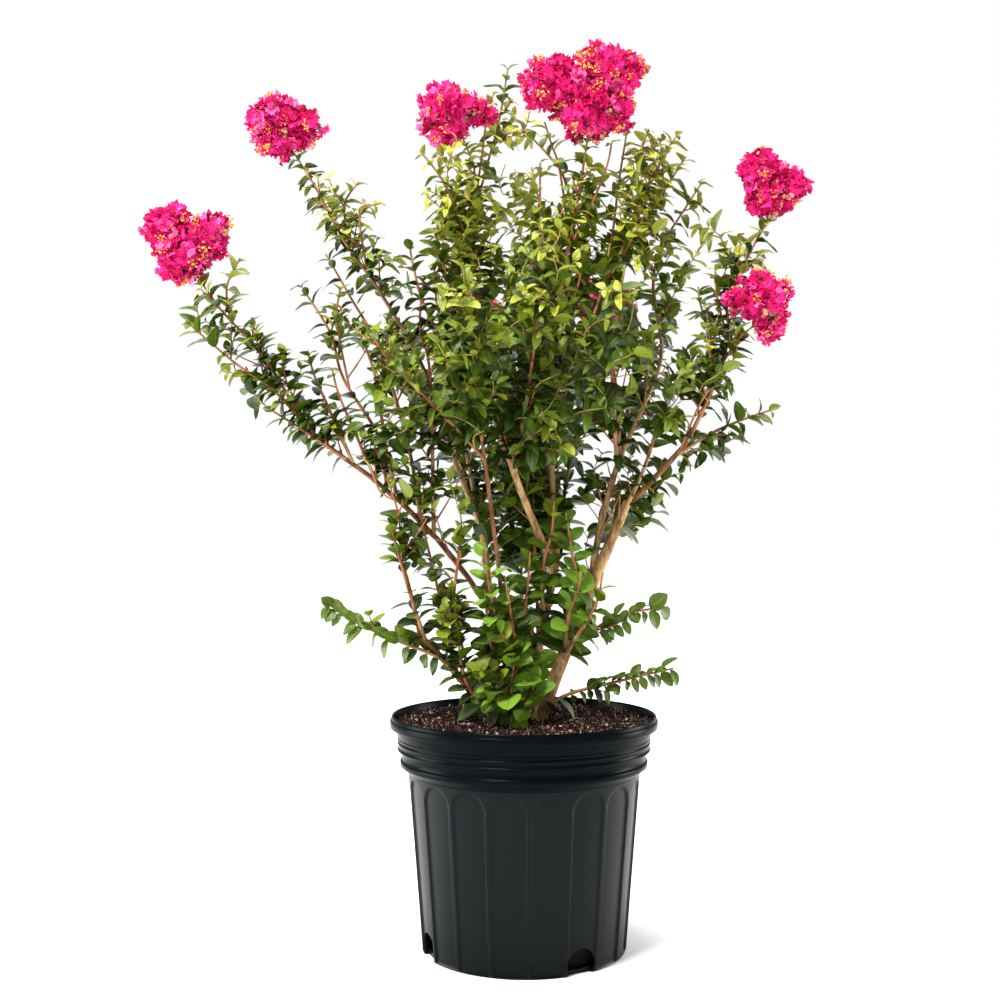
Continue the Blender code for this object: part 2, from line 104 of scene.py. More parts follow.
def mapBlade(mesh, places):
    # the map of a leaf or petal: across it and along it, both from 0 to 1
    mapAll = mesh.uv_layers.new(name="blade")
    for loop in mesh.loops:
        mapAll.data[loop.index].uv = places[loop.vertex_index]


def fromWork(work, mesh):
    work.to_mesh(mesh)
    work.free()
    return mesh


def mergeDoubles(mesh, distance, turnOut=False):
    # points that fall together become one, and the faces of a closed mesh are turned outwards
    work = bmesh.new()
    work.from_mesh(mesh)
    bmesh.ops.remove_doubles(work, verts=work.verts, dist=distance)
    if turnOut:
        bmesh.ops.recalc_face_normals(work, faces=work.faces)
    return fromWork(work, mesh)


def shapeSet(name, meshes):
    # a collection of small shapes for Geometry Nodes to pick from
    shapes = bpy.data.collections.new(name)
    for mesh in meshes:
        shapes.objects.link(bpy.data.objects.new(mesh.name, mesh))
    return shapes


def makePlain(piece):
    # the piece as evaluated becomes its own plain mesh, and its modifiers go
    bpy.context.view_layer.update()
    graph = bpy.context.evaluated_depsgraph_get()
    mesh = bpy.data.meshes.new_from_object(piece.evaluated_get(graph))
    mesh.name = piece.name
    piece.modifiers.clear()
    piece.data = mesh
    return piece


def handOver(piece, slotName, *nodes):
    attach(piece, "root")
    if nodes:
        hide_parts(*nodes)
    triangles = sum(len(face.vertices) - 2 for face in piece.data.polygons)
    print(f"{piece.name}: {triangles} triangles")
    return piece


def gridFaces(rows, columns, closed):
    # quads between rows of points, each row going round once when closed
    faces = []
    for row in range(rows - 1):
        for column in range(columns if closed else columns - 1):
            after = (column + 1) % columns
            low, high = row * columns, (row + 1) * columns
            faces.append((low + column, low + after, high + after, high + column))
    return faces


def smoothPath(knots, step):
    # points about a step apart on a smooth curve through the knots
    knots = [Vector(knot) for knot in knots]
    ends = [knots[0] * 2 - knots[1]] + knots + [knots[-1] * 2 - knots[-2]]
    points = [knots[0].copy()]
    for i in range(1, len(ends) - 2):
        before, here, there, after = ends[i - 1:i + 3]
        count = max(1, round((there - here).length / step))
        for k in range(1, count + 1):
            t = k / count
            bend = (2 * before - 5 * here + 4 * there - after) * t * t
            twist = (3 * here - before - 3 * there + after) * t * t * t
            points.append(0.5 * (2 * here + (there - before) * t + bend + twist))
    return points


# Node trees
def addNode(tree, kind, values=None, **settings):
    # a node with its settings, and its inputs either linked or given a value
    node = tree.nodes.new(kind)
    for key, value in settings.items():
        setattr(node, key, value)
    for key, value in (values or {}).items():
        if isinstance(value, bpy.types.NodeSocket):
            tree.links.new(value, node.inputs[key])
        else:
            node.inputs[key].default_value = value
    return node


def mathNode(tree, operation, first, second=0.0, third=None):
    values = {0: first, 1: second}
    if third is not None:
        values[2] = third
    return addNode(tree, "ShaderNodeMath", values, operation=operation).outputs[0]


def mixColors(tree, factor, first, second, blend="MIX"):
    values = {"Factor": factor, 6: first, 7: second}
    return addNode(tree, "ShaderNodeMix", values, data_type="RGBA", blend_type=blend).outputs[2]


def newGroup(name, kind, asked, given):
    # a node group with named inputs and outputs, each with its start value or only its kind of socket
    tree = bpy.data.node_groups.new(name, kind)
    kinds = {float: "Float", int: "Int", tuple: "Color"}
    for side, sockets in (("INPUT", asked), ("OUTPUT", given)):
        for label, value in sockets.items():
            hasValue = type(value) in kinds
            socketKind = "NodeSocket" + (kinds[type(value)] if hasValue else value)
            socket = tree.interface.new_socket(label, in_out=side, socket_type=socketKind)
            if hasValue:
                socket.default_value = value
    return tree, addNode(tree, "NodeGroupInput").outputs, addNode(tree, "NodeGroupOutput").inputs


def namedValue(tree, name, kind):
    return addNode(tree, "GeometryNodeInputNamedAttribute", {"Name": name}, data_type=kind).outputs[0]


def tubeAlong(tree, edges, sides):
    # a capped tube along edges, with the radius that their points carry
    curve = addNode(tree, "GeometryNodeMeshToCurve", {0: edges})
    ring = addNode(tree, "GeometryNodeCurvePrimitiveCircle", {"Resolution": sides, "Radius": 1.0})
    return addNode(tree, "GeometryNodeCurveToMesh", {
        "Curve": curve.outputs[0], "Profile Curve": ring.outputs[0],
        "Scale": namedValue(tree, "thick", "FLOAT"), "Fill Caps": True}).outputs[0]


def shapesAt(tree, points, shapes, values):
    # one of the shapes on each point, with the values given for its turn, size and number
    picked = addNode(tree, "GeometryNodeCollectionInfo", {
        "Collection": shapes, "Separate Children": True, "Reset Children": True}).outputs[0]
    return addNode(tree, "GeometryNodeInstanceOnPoints", {
        "Points": points, "Instance": picked, "Pick Instance": True, **values}).outputs[0]


def paintBy(tree, flow, name, materials, operation="EQUAL"):
    # each material goes on the faces whose own number compares so with the material's number
    asked = namedValue(tree, name, "INT")
    for number, material in materials:
        pair = {2: asked, 3: number}
        chosen = addNode(tree, "FunctionNodeCompare", pair, data_type="INT", operation=operation)
        flow = addNode(tree, "GeometryNodeSetMaterial", {
            "Geometry": flow, "Selection": chosen.outputs[0], "Material": material}).outputs[0]
    return flow


def useTree(piece, tree, values):
    # a Geometry Nodes modifier with its inputs set by the sockets' identifiers
    modifier = piece.modifiers.new(tree.name, "NODES")
    modifier.node_group = tree
    for item in tree.interface.items_tree:
        if item.item_type == "SOCKET" and item.in_out == "INPUT" and item.name in values:
            modifier[item.identifier] = values[item.name]
    return modifier


# Shader groups that several materials share
def makeMottle():
    # two sizes of soft noise as one mask, the colour it gives, and a height for bump
    tree, ask, out = newGroup("mottle", "ShaderNodeTree", {
        "Vector": "Vector", "Light": (1, 1, 1, 1), "Dark": (0, 0, 0, 1), "Patch Scale": 30.0,
        "Grain Scale": 300.0, "Grain Share": 0.4, "Contrast": 1.5,
    }, {"Color": "Color", "Mask": "Float", "Height": "Float"})
    patch = addNode(tree, "ShaderNodeTexNoise", {
        "Vector": ask["Vector"], "Scale": ask["Patch Scale"], "Detail": 3.0})
    grain = addNode(tree, "ShaderNodeTexNoise", {
        "Vector": ask["Vector"], "Scale": ask["Grain Scale"], "Detail": 4.0, "Roughness": 0.65})
    both = addNode(tree, "ShaderNodeMix", {
        "Factor": ask["Grain Share"], "A": patch.outputs["Fac"], "B": grain.outputs["Fac"]})
    spread = mathNode(tree, "SUBTRACT", both.outputs[0], 0.5)
    strong = mathNode(tree, "MULTIPLY_ADD", spread, ask["Contrast"], 0.5)
    mask = addNode(tree, "ShaderNodeClamp", {"Value": strong}).outputs[0]
    color = mixColors(tree, mask, ask["Dark"], ask["Light"])
    for label, value in (("Color", color), ("Mask", mask), ("Height", strong)):
        tree.links.new(value, out[label])
    return tree


def makeBladeSkin():
    # side veins from the leaf's or petal's own map: a paler line, a darker field, a height
    tree, ask, out = newGroup("bladeSkin", "ShaderNodeTree", {
        "Tint": (0.1, 0.2, 0.02, 1), "Vein Count": 11.0, "Vein Slope": 0.5,
        "Vein Lift": 0.25, "Edge Lift": 0.15,
    }, {"Color": "Color", "Height": "Float"})
    place = addNode(tree, "ShaderNodeUVMap", uv_map="blade").outputs[0]
    parts = addNode(tree, "ShaderNodeSeparateXYZ", {0: place})
    fromRib = mathNode(tree, "ABSOLUTE", mathNode(tree, "SUBTRACT", parts.outputs[0], 0.5))
    slope = mathNode(tree, "MULTIPLY", fromRib, ask["Vein Slope"])
    climb = mathNode(tree, "SUBTRACT", parts.outputs[1], slope)
    turns = mathNode(tree, "MULTIPLY", climb, mathNode(tree, "MULTIPLY", ask["Vein Count"], math.tau))
    wave = mathNode(tree, "MULTIPLY_ADD", mathNode(tree, "SINE", turns), 0.5, 0.5)
    line = mathNode(tree, "POWER", wave, 6.0)
    lift = mathNode(tree, "MULTIPLY_ADD", line, ask["Vein Lift"], 1.0)
    edge = mathNode(tree, "MULTIPLY", mathNode(tree, "MULTIPLY", fromRib, 2.0), ask["Edge Lift"])
    blotch = addNode(tree, "ShaderNodeTexNoise", {
        "Vector": addNode(tree, "ShaderNodeTexCoord").outputs["Object"], "Scale": 120.0, "Detail": 2.0})
    uneven = mathNode(tree, "MULTIPLY_ADD", blotch.outputs["Fac"], 0.36, 0.82)
    total = mathNode(tree, "MULTIPLY", mathNode(tree, "ADD", lift, edge), uneven)
    grey = addNode(tree, "ShaderNodeCombineXYZ", {0: total, 1: total, 2: total}).outputs[0]
    color = mixColors(tree, 1.0, ask["Tint"], grey, "MULTIPLY")
    tree.links.new(color, out["Color"])
    tree.links.new(line, out["Height"])
    return tree


mottle = makeMottle()
bladeSkin = makeBladeSkin()


def newMaterial(name, color, roughness, **constants):
    # a material with its shader's plain values set on the shader itself
    material = bpy.data.materials.new(name)
    material.use_nodes = True
    material.diffuse_color = (*color, 1.0)
    shader = material.node_tree.nodes["Principled BSDF"]
    shader.inputs["Base Color"].default_value = (*color, 1.0)
    shader.inputs["Roughness"].default_value = roughness
    for key, value in constants.items():
        shader.inputs[key].default_value = value
    return material, material.node_tree, shader


def addBump(tree, shader, height, strength, distance):
    bump = addNode(tree, "ShaderNodeBump", {"Height": height, "Strength": strength, "Distance": distance})
    tree.links.new(bump.outputs[0], shader.inputs["Normal"])


def mottledMaterial(name, light, dark, look):
    # look: scales of patches and grain, the grain's share, contrast, stretch along Z, the roughness
    # of dark and light, the bump's strength and relief, and the shader's own constants
    middle = [(a + b) / 2 for a, b in zip(light, dark)]
    material, tree, shader = newMaterial(name, middle, look["rough"][0], **look.get("constants", {}))
    place = addNode(tree, "ShaderNodeTexCoord").outputs["Object"]
    stretched = addNode(tree, "ShaderNodeMapping", {"Vector": place, "Scale": (1, 1, look["stretch"])})
    skin = addNode(tree, "ShaderNodeGroup", {
        "Vector": stretched.outputs[0], "Light": (*light, 1.0), "Dark": (*dark, 1.0),
        "Patch Scale": look["patch"], "Grain Scale": look["grain"], "Grain Share": look["share"],
        "Contrast": look["contrast"]}, node_tree=mottle)
    tree.links.new(skin.outputs["Color"], shader.inputs["Base Color"])
    rough = addNode(tree, "ShaderNodeMapRange", {
        "Value": skin.outputs["Mask"], "To Min": look["rough"][0], "To Max": look["rough"][1]})
    tree.links.new(rough.outputs[0], shader.inputs["Roughness"])
    addBump(tree, shader, skin.outputs["Height"], look["bump"], look["relief"])
    return material


# The pot
pot = {
    "height": 0.243, "wall": 0.0032, "floor": 0.003,
    "lip": 0.139, "lipDepth": 0.014, "lipThick": 0.004, "neck": 0.1305,
    "recess": 0.1265, "recessHeight": 0.201, "collar": 0.1285, "collarHeight": 0.193, "band": 0.003,
    "shoulder": 0.1205, "shoulderHeight": 0.184, "foot": 0.106, "edge": 0.003,
    "flutes": 18, "turn": math.radians(1.6), "fluteDepth": 0.0022, "columnsPerFlute": 26,
    "archTop": 0.1815, "archRadius": 0.0188, "ribHalf": 0.0023, "ribLow": 0.0018, "softness": 0.0012,
    "beads": (0.2240, 0.2200, 0.2153, 0.2085), "beadLift": 0.0010, "beadHalf": 0.0013,
    "drains": (1, 5, 10, 14), "drainSides": 40, "drainHalf": 0.0165, "drainHeight": 0.026,
    "drainIn": 0.0065, "drainOut": 0.010, "shine": 0.088, "rimShine": 0.026,
    "dark": (0.0008, 0.0022, 0.0028), "light": (0.0020, 0.0038, 0.0045),
}


def potFirstRib():
    return -math.pi / 2 + pot["turn"]


def potWall(height):
    return pot["foot"] + (pot["shoulder"] - pot["foot"]) * height / pot["shoulderHeight"]


def potProfile():
    # (radius, height) from the middle of the floor, up the inside, over the lip, down the outside
    throat = pot["neck"] - pot["wall"]
    waist = throat - 0.0045
    neckFoot = pot["recessHeight"] + 2 * pot["band"]
    neckTop = pot["height"] - pot["lipDepth"]
    lip, lipInside, top = pot["lip"], pot["lip"] - pot["lipThick"], pot["height"]
    rows = [
        (0.0, pot["floor"]), (pot["foot"] - pot["wall"] - 0.006, pot["floor"]),
        (pot["foot"] - pot["wall"] - 0.001, pot["floor"] + 0.003),
        (pot["shoulder"] - pot["wall"] - 0.0015, pot["shoulderHeight"]),
        (waist, pot["collarHeight"]), (waist, pot["recessHeight"]), (throat, neckFoot),
        (lipInside - 0.0008, top - 0.010), (lipInside, top - 0.0012), (lipInside + 0.0007, top - 0.0002),
        (lip - 0.0026, top), (lip - 0.0018, top - 0.0006), (lip - 0.0015, top - 0.0014),
        (lip - 0.0015, top - 0.0037), (lip - 0.0012, top - 0.0044), (lip - 0.0003, top - 0.0047),
        (lip, top - 0.0053), (lip, neckTop + 0.0030), (lip - 0.0004, neckTop + 0.0017),
        (lip - 0.0018, neckTop + 0.0010), (pot["neck"] + 0.0012, neckTop + 0.0004),
        (pot["neck"], neckTop - 0.0008),
    ]
    for bead in pot["beads"]:
        for share in (-1.0, -0.5, 0.0, 0.5, 1.0):
            lift = pot["beadLift"] * (1 - share * share)
            rows.append((pot["neck"] + lift, bead - share * pot["beadHalf"]))
    recess, collar, shoulder = pot["recess"], pot["collar"], pot["shoulder"]
    recessTop, recessFoot = pot["recessHeight"] + pot["band"], pot["recessHeight"] - pot["band"]
    collarTop, collarFoot = pot["collarHeight"] + pot["band"], pot["collarHeight"] - pot["band"]
    return rows + [
        (pot["neck"] - 0.0004, neckFoot - 0.0002), (recess + 0.0005, neckFoot - 0.0012),
        (recess, recessTop), (recess, recessFoot + 0.0006), (recess + 0.0005, recessFoot - 0.0006),
        (collar - 0.0005, collarTop + 0.0009), (collar, collarTop + 0.0002),
        (collar, collarFoot + 0.0020), (collar - 0.0008, collarFoot + 0.0010),
        (shoulder + 0.0014, pot["shoulderHeight"] + 0.0030), (shoulder, pot["shoulderHeight"]),
    ]


def potOuterHeights():
    # rows lie close together round the arches and wider apart below them
    arches = np.arange(pot["archTop"] + 0.0008, pot["archTop"] - pot["archRadius"] - 0.010, -0.0009)
    below = np.linspace(arches[-1] - 0.003, pot["edge"], 34)
    return [*arches, *below]


def fluteShare(across, height):
    # 1 inside a flute, 0 on the ribs and above the arches, soft at the edge
    spring = pot["archTop"] - pot["archRadius"]
    half = math.pi * potWall(height) / pot["flutes"]
    wide = half - pot["ribLow"] - (pot["ribHalf"] - pot["ribLow"]) * max(0.0, min(1.0, height / spring))
    if height > spring:
        squash = wide / pot["archRadius"]
        inside = pot["archRadius"] - math.hypot(across / squash, height - spring)
    else:
        inside = wide - abs(across)
    share = max(0.0, min(1.0, inside / pot["softness"]))
    return share * share * (3 - 2 * share)


def potRing(radius, height, fluted):
    columns = pot["flutes"] * pot["columnsPerFlute"]
    points = []
    for column in range(columns):
        turn = column / pot["columnsPerFlute"]
        angle = potFirstRib() + turn * math.tau / pot["flutes"]
        depth = 0.0
        if fluted:
            across = ((turn % 1.0) - 0.5) * math.tau / pot["flutes"] * radius
            depth = pot["fluteDepth"] * fluteShare(across, height)
        points.append(((radius - depth) * math.cos(angle), (radius - depth) * math.sin(angle), height))
    return points


def drainCutter(number):
    angle = potFirstRib() + (number + 0.5) * math.tau / pot["flutes"]
    work = bmesh.new()
    bmesh.ops.create_cone(
        work, cap_ends=True, segments=pot["drainSides"], depth=pot["drainIn"] + pot["drainOut"],
        radius1=pot["drainHalf"], radius2=pot["drainHalf"])
    away = Vector((math.cos(angle), math.sin(angle), 0.0))
    reach = pot["foot"] + (pot["drainOut"] - pot["drainIn"]) / 2
    centre = away * reach + upward * (pot["drainHeight"] - pot["drainHalf"])
    turn = Matrix.Rotation(angle + math.pi / 2, 4, "Z") @ Matrix.Rotation(math.pi / 2, 4, "X")
    bmesh.ops.transform(work, matrix=Matrix.Translation(centre) @ turn, verts=work.verts)
    name = f"drainCutter{number}"
    return addPiece(name, fromWork(work, bpy.data.meshes.new(name)))


def makePot():
    rings = []
    for radius, height in potProfile():
        rings.append(potRing(radius, height, False))
    for height in potOuterHeights():
        rings.append(potRing(potWall(height), height, height > pot["edge"] * 0.9))
    rings.append(potRing(pot["foot"] - 0.0008, pot["edge"] * 0.35, False))
    rings.append(potRing(pot["foot"] - pot["edge"], 0.0, False))
    rings.append(potRing(0.0, 0.0, False))
    points = [point for ring in rings for point in ring]
    mesh = newMesh("nurseryPot", points, [], gridFaces(len(rings), len(rings[0]), True))
    piece = addPiece(mesh.name, mergeDoubles(mesh, 0.000005, True))
    cutters = [drainCutter(number) for number in pot["drains"]]
    for cutter in cutters:
        cut = piece.modifiers.new(cutter.name, "BOOLEAN")
        cut.operation = "DIFFERENCE"
        cut.solver = "EXACT"
        cut.object = cutter
    makePlain(piece)
    for cutter in cutters:
        bpy.data.objects.remove(cutter, do_unlink=True)
    look = {"patch": 14.0, "grain": 420.0, "share": 0.35, "contrast": 1.4, "stretch": 0.35,
            "bump": 0.10, "relief": 0.0005}
    piece.data.materials.clear()
    for name, rough, shine in (("potPlastic", (0.28, 0.37), "shine"), ("potRim", (0.22, 0.30), "rimShine")):
        look.update(rough=rough, constants={"Specular IOR Level": pot[shine]})
        piece.data.materials.append(mottledMaterial(name, pot["light"], pot["dark"], look))
    heights = np.zeros(3 * len(piece.data.vertices), dtype=np.float32)
    piece.data.vertices.foreach_get("co", heights)
    heights = heights[2::3]
    for face in piece.data.polygons:
        face.material_index = int(heights[face.vertices[0]] > pot["shoulderHeight"] + 0.002)
    piece.data.shade_smooth()
    piece.data.set_sharp_from_angle(angle=math.radians(50))
    handOver(piece, "pot", "pot")


# The potting mix
mix = {
    "top": 0.238, "edgeDrop": 0.0008, "dropFrom": 0.42, "edge": 0.1322, "clearance": 0.0030,
    "rings": 46, "columns": 150, "heave": 0.0021, "calmEdge": 0.006, "sunk": 0.0012,
    "chipShapes": 7, "chipDensity": 108000.0, "chipSize": 0.70, "smallest": 0.0019, "spread": 0.0050,
    "chipDepth": 0.012, "seed": 5,
    "tints": {                   # light and dark of each kind of chip
        "mixBlack": ((0.011, 0.005, 0.004), (0.001, 0.001, 0.001)),
        "mixUmber": ((0.070, 0.028, 0.018), (0.012, 0.004, 0.003)),
        "mixRusty": ((0.250, 0.115, 0.080), (0.060, 0.024, 0.017)),
        "mixPale": ((0.640, 0.450, 0.360), (0.280, 0.165, 0.130)),
    },
    "kinds": (-1, 34, 62, 85),   # each kind of chip begins above this number out of a hundred
}


def mixSurface(radius, angle):
    x, y = radius * math.cos(angle), radius * math.sin(angle)
    wave = math.sin(61 * x + 2.1) * math.cos(53 * y - 0.7) + 0.6 * math.sin(127 * x - 97 * y)
    crumb = math.sin(411 * x + 173 * y) * math.sin(367 * y - 211 * x + 1.3)
    return mix["heave"] * (0.45 * wave + 0.35 * crumb)


def makeMixBody():
    # a heaving top, closed below by the turned inside of the pot
    rim = mix["edge"]
    rows = []
    for ring in range(mix["rings"] + 1):
        share = ring / mix["rings"]
        drop = mix["edgeDrop"] * max(0.0, share - mix["dropFrom"]) / (1.0 - mix["dropFrom"])
        rows.append((rim * share, mix["top"] - drop, True))
    inside = {key: pot[key] - pot["wall"] - mix["clearance"] for key in ("neck", "shoulder", "foot")}
    rows += [
        (rim - 0.0012, mix["top"] - 0.0035, False),
        (inside["neck"], mix["top"] - 0.0110, False),
        (inside["neck"] - 0.0045, pot["collarHeight"] + 0.003, False),
        (inside["shoulder"] - 0.003, pot["shoulderHeight"] - 0.006, False),
        (inside["foot"] - 0.0045, pot["floor"] + 0.0006, False),
        (0.0, pot["floor"] + 0.0006, False),
    ]
    points = []
    for radius, height, loose in rows:
        for column in range(mix["columns"]):
            angle = column * math.tau / mix["columns"]
            calm = min(1.0, max(0.0, (rim - radius) / mix["calmEdge"])) if loose else 0.0
            lift = mixSurface(radius, angle) * calm if loose else 0.0
            points.append((radius * math.cos(angle), radius * math.sin(angle), height - mix["sunk"] + lift))
    mesh = newMesh("pottingMix", points, [], gridFaces(len(rows), mix["columns"], True))
    mergeDoubles(mesh, 0.00001, True)
    mesh.shade_smooth()
    return addPiece(mesh.name, mesh)


def makeChipShapes():
    # broken bark chips: squashed, jagged lumps
    chooser = random.Random(mix["seed"])
    meshes = []
    for number in range(mix["chipShapes"]):
        work = bmesh.new()
        bmesh.ops.create_icosphere(work, subdivisions=1, radius=0.5)
        long, wide, thin = [chooser.uniform(*span) for span in ((1.0, 1.9), (0.40, 0.70), (0.25, 0.5))]
        for vert in work.verts:
            jag = chooser.uniform(0.75, 1.25)
            vert.co = Vector((vert.co.x * long, vert.co.y * wide, vert.co.z * thin)) * jag
        meshes.append(fromWork(work, bpy.data.meshes.new(f"chip{number}")))
    return shapeSet("chipShapes", meshes)


def makeChipTree(materials):
    # chips scattered over the upward faces, turned and sized at random, in several tints
    tree, ask, out = newGroup("barkChips", "GeometryNodeTree", {
        "Geometry": "Geometry", "Chip Shapes": "Collection", "Density": 60000.0, "Chip Size": 1.0, "Seed": 5,
    }, {"Geometry": "Geometry"})
    normal = addNode(tree, "GeometryNodeInputNormal").outputs[0]
    place = addNode(tree, "GeometryNodeInputPosition").outputs[0]
    steep = addNode(tree, "ShaderNodeSeparateXYZ", {0: normal}).outputs[2]
    height = addNode(tree, "ShaderNodeSeparateXYZ", {0: place}).outputs[2]
    isTop = mathNode(tree, "MULTIPLY", mathNode(tree, "GREATER_THAN", steep, 0.5),
                     mathNode(tree, "GREATER_THAN", height, mix["top"] - mix["chipDepth"]))
    spots = addNode(tree, "GeometryNodeDistributePointsOnFaces", {
        "Mesh": ask["Geometry"], "Selection": isTop, "Density": ask["Density"], "Seed": ask["Seed"]})
    turns = {0: (0, 0, 0), 1: (6.28, 6.28, 6.28)}
    turn = addNode(tree, "FunctionNodeRandomValue", turns, data_type="FLOAT_VECTOR")
    size = addNode(tree, "FunctionNodeRandomValue", {2: 0.0, 3: 1.0, "Seed": 3})
    grown = mathNode(tree, "MULTIPLY_ADD", mathNode(tree, "POWER", size.outputs[1], 3.0),
                     mix["spread"], mix["smallest"])
    scaled = mathNode(tree, "MULTIPLY", grown, ask["Chip Size"])
    chips = shapesAt(tree, spots.outputs["Points"], ask["Chip Shapes"], {
        "Rotation": turn.outputs[0], "Scale": scaled})
    kind = addNode(tree, "FunctionNodeRandomValue", {4: 0, 5: 99, "Seed": 8}, data_type="INT")
    numbered = {"Geometry": chips, "Name": "kind", "Value": kind.outputs[2]}
    kept = addNode(tree, "GeometryNodeStoreNamedAttribute", numbered, data_type="INT", domain="INSTANCE")
    flow = addNode(tree, "GeometryNodeRealizeInstances", {0: kept.outputs[0]}).outputs[0]
    flow = paintBy(tree, flow, "kind", zip(mix["kinds"], materials), "GREATER_THAN")
    both = addNode(tree, "GeometryNodeJoinGeometry")
    tree.links.new(flow, both.inputs[0])
    tree.links.new(ask["Geometry"], both.inputs[0])
    tree.links.new(both.outputs[0], out[0])
    return tree


def makeMix():
    look = {"patch": 90.0, "grain": 900.0, "share": 0.5, "contrast": 2.2, "stretch": 1.0,
            "rough": (0.85, 0.98), "bump": 0.6, "relief": 0.0015, "constants": {"Specular IOR Level": 0.12}}
    materials = [mottledMaterial(name, light, dark, look) for name, (light, dark) in mix["tints"].items()]
    piece = makeMixBody()
    # the body takes the black chips' material: dark mix between the chips, and painted shade where the
    # inside shows through the drain holes
    piece.data.materials.append(materials[0])
    useTree(piece, makeChipTree(materials), {
        "Chip Shapes": makeChipShapes(), "Density": mix["chipDensity"],
        "Chip Size": mix["chipSize"], "Seed": mix["seed"]})
    makePlain(piece)
    handOver(piece, "mix", "potting_mix")


# Stems and boughs: the same sizes as the solids they stand for
limbs = {
    "points": 6, "flare": 1.45, "flareHeight": 0.022, "ringStep": 0.0013, "sides": 22,
    "relief": 0.0016, "reliefRadius": 0.005,     # the relief's depth on a limb of this radius
    "tan": ((0.660, 0.420, 0.180), (0.200, 0.090, 0.036)),
    "young": ((0.350, 0.145, 0.056), (0.092, 0.030, 0.013)),
    "youngLimbs": ("stem_front", "stem_left", "bough_right_arm", "bough_left_arm", "bough_left_shoot"),
}
stems = {    # foot, leans to the right and to the back at foot and tip, length, foot and tip diameter
    "stem_right": ((0.0160, 0.000), (21, 24), (4, 6), 0.245, 0.0160, 0.0098),
    "stem_centre": ((0.0025, 0.025), (10, 12), (-4, -8), 0.165, 0.0105, 0.0088),
    "stem_middle_left": ((-0.0275, 0.024), (-2, -7), (0, -4), 0.200, 0.0108, 0.0072),
    "stem_left": ((-0.0300, -0.006), (-38, -44), (-6, -8), 0.122, 0.0086, 0.0058),
    "stem_front": ((-0.0100, -0.028), (-5, -8), (-2, -6), 0.290, 0.0052, 0.0036),
}
boughs = {   # parent, share of its length, then as above
    "bough_right_fork": ("stem_right", 0.62, (6, 21), (14, 0), 0.150, 0.0080, 0.0060),
    "bough_right_arm": ("stem_right", 0.975, (46, 40), (-8, -8), 0.095, 0.0070, 0.0050),
    "bough_centre": ("stem_centre", 0.975, (-28, -19), (-22, -14), 0.118, 0.0084, 0.0066),
    "bough_left_arm": ("stem_middle_left", 0.57, (-30, -57), (-22, -8), 0.242, 0.0062, 0.0046),
    "bough_left_shoot": ("stem_left", 0.97, (-10, -16), (-16, -4), 0.075, 0.0050, 0.0040),
}


def leanVector(right, back):
    return Vector((math.tan(math.radians(right)), math.tan(math.radians(back)), 1.0)).normalized()


limbRank, leaderRank, sideRank, fillRank = range(4)


class Shoot:
    # a limb, leader or twig: its middle line, its thickness and the mass it fills
    def __init__(self, name, points, foot, tip, rank, mass=None):
        self.name = name
        self.points = points
        self.foot = foot          # radius where it leaves
        self.tip = tip            # radius at its end
        self.rank = rank
        self.mass = mass
        self.along = [0.0]
        for one, other in zip(points, points[1:]):
            self.along.append(self.along[-1] + (other - one).length)
        self.length = self.along[-1]

    def at(self, share):
        # the point at a share of the length, and the way ahead there
        distance = max(0.0, min(1.0, share)) * self.length
        i = 0
        while i < len(self.along) - 2 and self.along[i + 1] < distance:
            i += 1
        span = self.along[i + 1] - self.along[i]
        ahead = self.points[i + 1] - self.points[i]
        return self.points[i] + ahead * ((distance - self.along[i]) / span), ahead.normalized()

    def radius(self, share):
        return self.foot + (self.tip - self.foot) * share


def limbLine(start, rights, backs, length):
    points = [Vector(start)]
    steps = limbs["points"] - 1
    for i in range(steps):
        share = (i + 0.5) / steps
        right = rights[0] + (rights[1] - rights[0]) * share
        back = backs[0] + (backs[1] - backs[0]) * share
        points.append(points[-1] + leanVector(right, back) * (length / steps))
    return points


def makeLimbShoots():
    shoots = {}
    for name, (foot, rights, backs, length, wide, narrow) in stems.items():
        start = Vector((*foot, mix["top"])) - leanVector(rights[0], backs[0]) * wide
        line = limbLine(start, rights, backs, length + wide)
        shoots[name] = Shoot(name, line, wide / 2, narrow / 2, limbRank)
    for name, (parent, share, rights, backs, length, wide, narrow) in boughs.items():
        start = shoots[parent].at(share)[0]
        line = limbLine(start, rights, backs, length)
        shoots[name] = Shoot(name, line, wide / 2, narrow / 2, limbRank)
    return shoots


def makeBarkTree():
    # a tube along the limb with flaking relief pressed into it
    tree, ask, out = newGroup("barkTube", "GeometryNodeTree", {
        "Geometry": "Geometry", "Sides": 16, "Relief": 0.0008, "Bark": "Material"}, {"Geometry": "Geometry"})
    tube = tubeAlong(tree, ask["Geometry"], ask["Sides"])
    place = addNode(tree, "GeometryNodeInputPosition").outputs[0]
    long = addNode(tree, "ShaderNodeVectorMath", {0: place, 1: (1, 1, 0.22)}, operation="MULTIPLY")
    flakes = addNode(tree, "ShaderNodeTexNoise", {"Vector": long.outputs[0], "Scale": 260.0, "Detail": 3.0})
    lumps = addNode(tree, "ShaderNodeTexNoise", {"Vector": place, "Scale": 70.0, "Detail": 1.0})
    both = mathNode(tree, "ADD", flakes.outputs["Fac"], lumps.outputs["Fac"])
    push = mathNode(tree, "MULTIPLY", mathNode(tree, "SUBTRACT", both, 1.0), ask["Relief"])
    normal = addNode(tree, "GeometryNodeInputNormal").outputs[0]
    offset = addNode(tree, "ShaderNodeVectorMath", {0: normal, "Scale": push}, operation="SCALE")
    moved = addNode(tree, "GeometryNodeSetPosition", {"Geometry": tube, "Offset": offset.outputs[0]})
    done = addNode(tree, "GeometryNodeSetMaterial", {"Geometry": moved.outputs[0], "Material": ask["Bark"]})
    tree.links.new(done.outputs[0], out[0])
    return tree


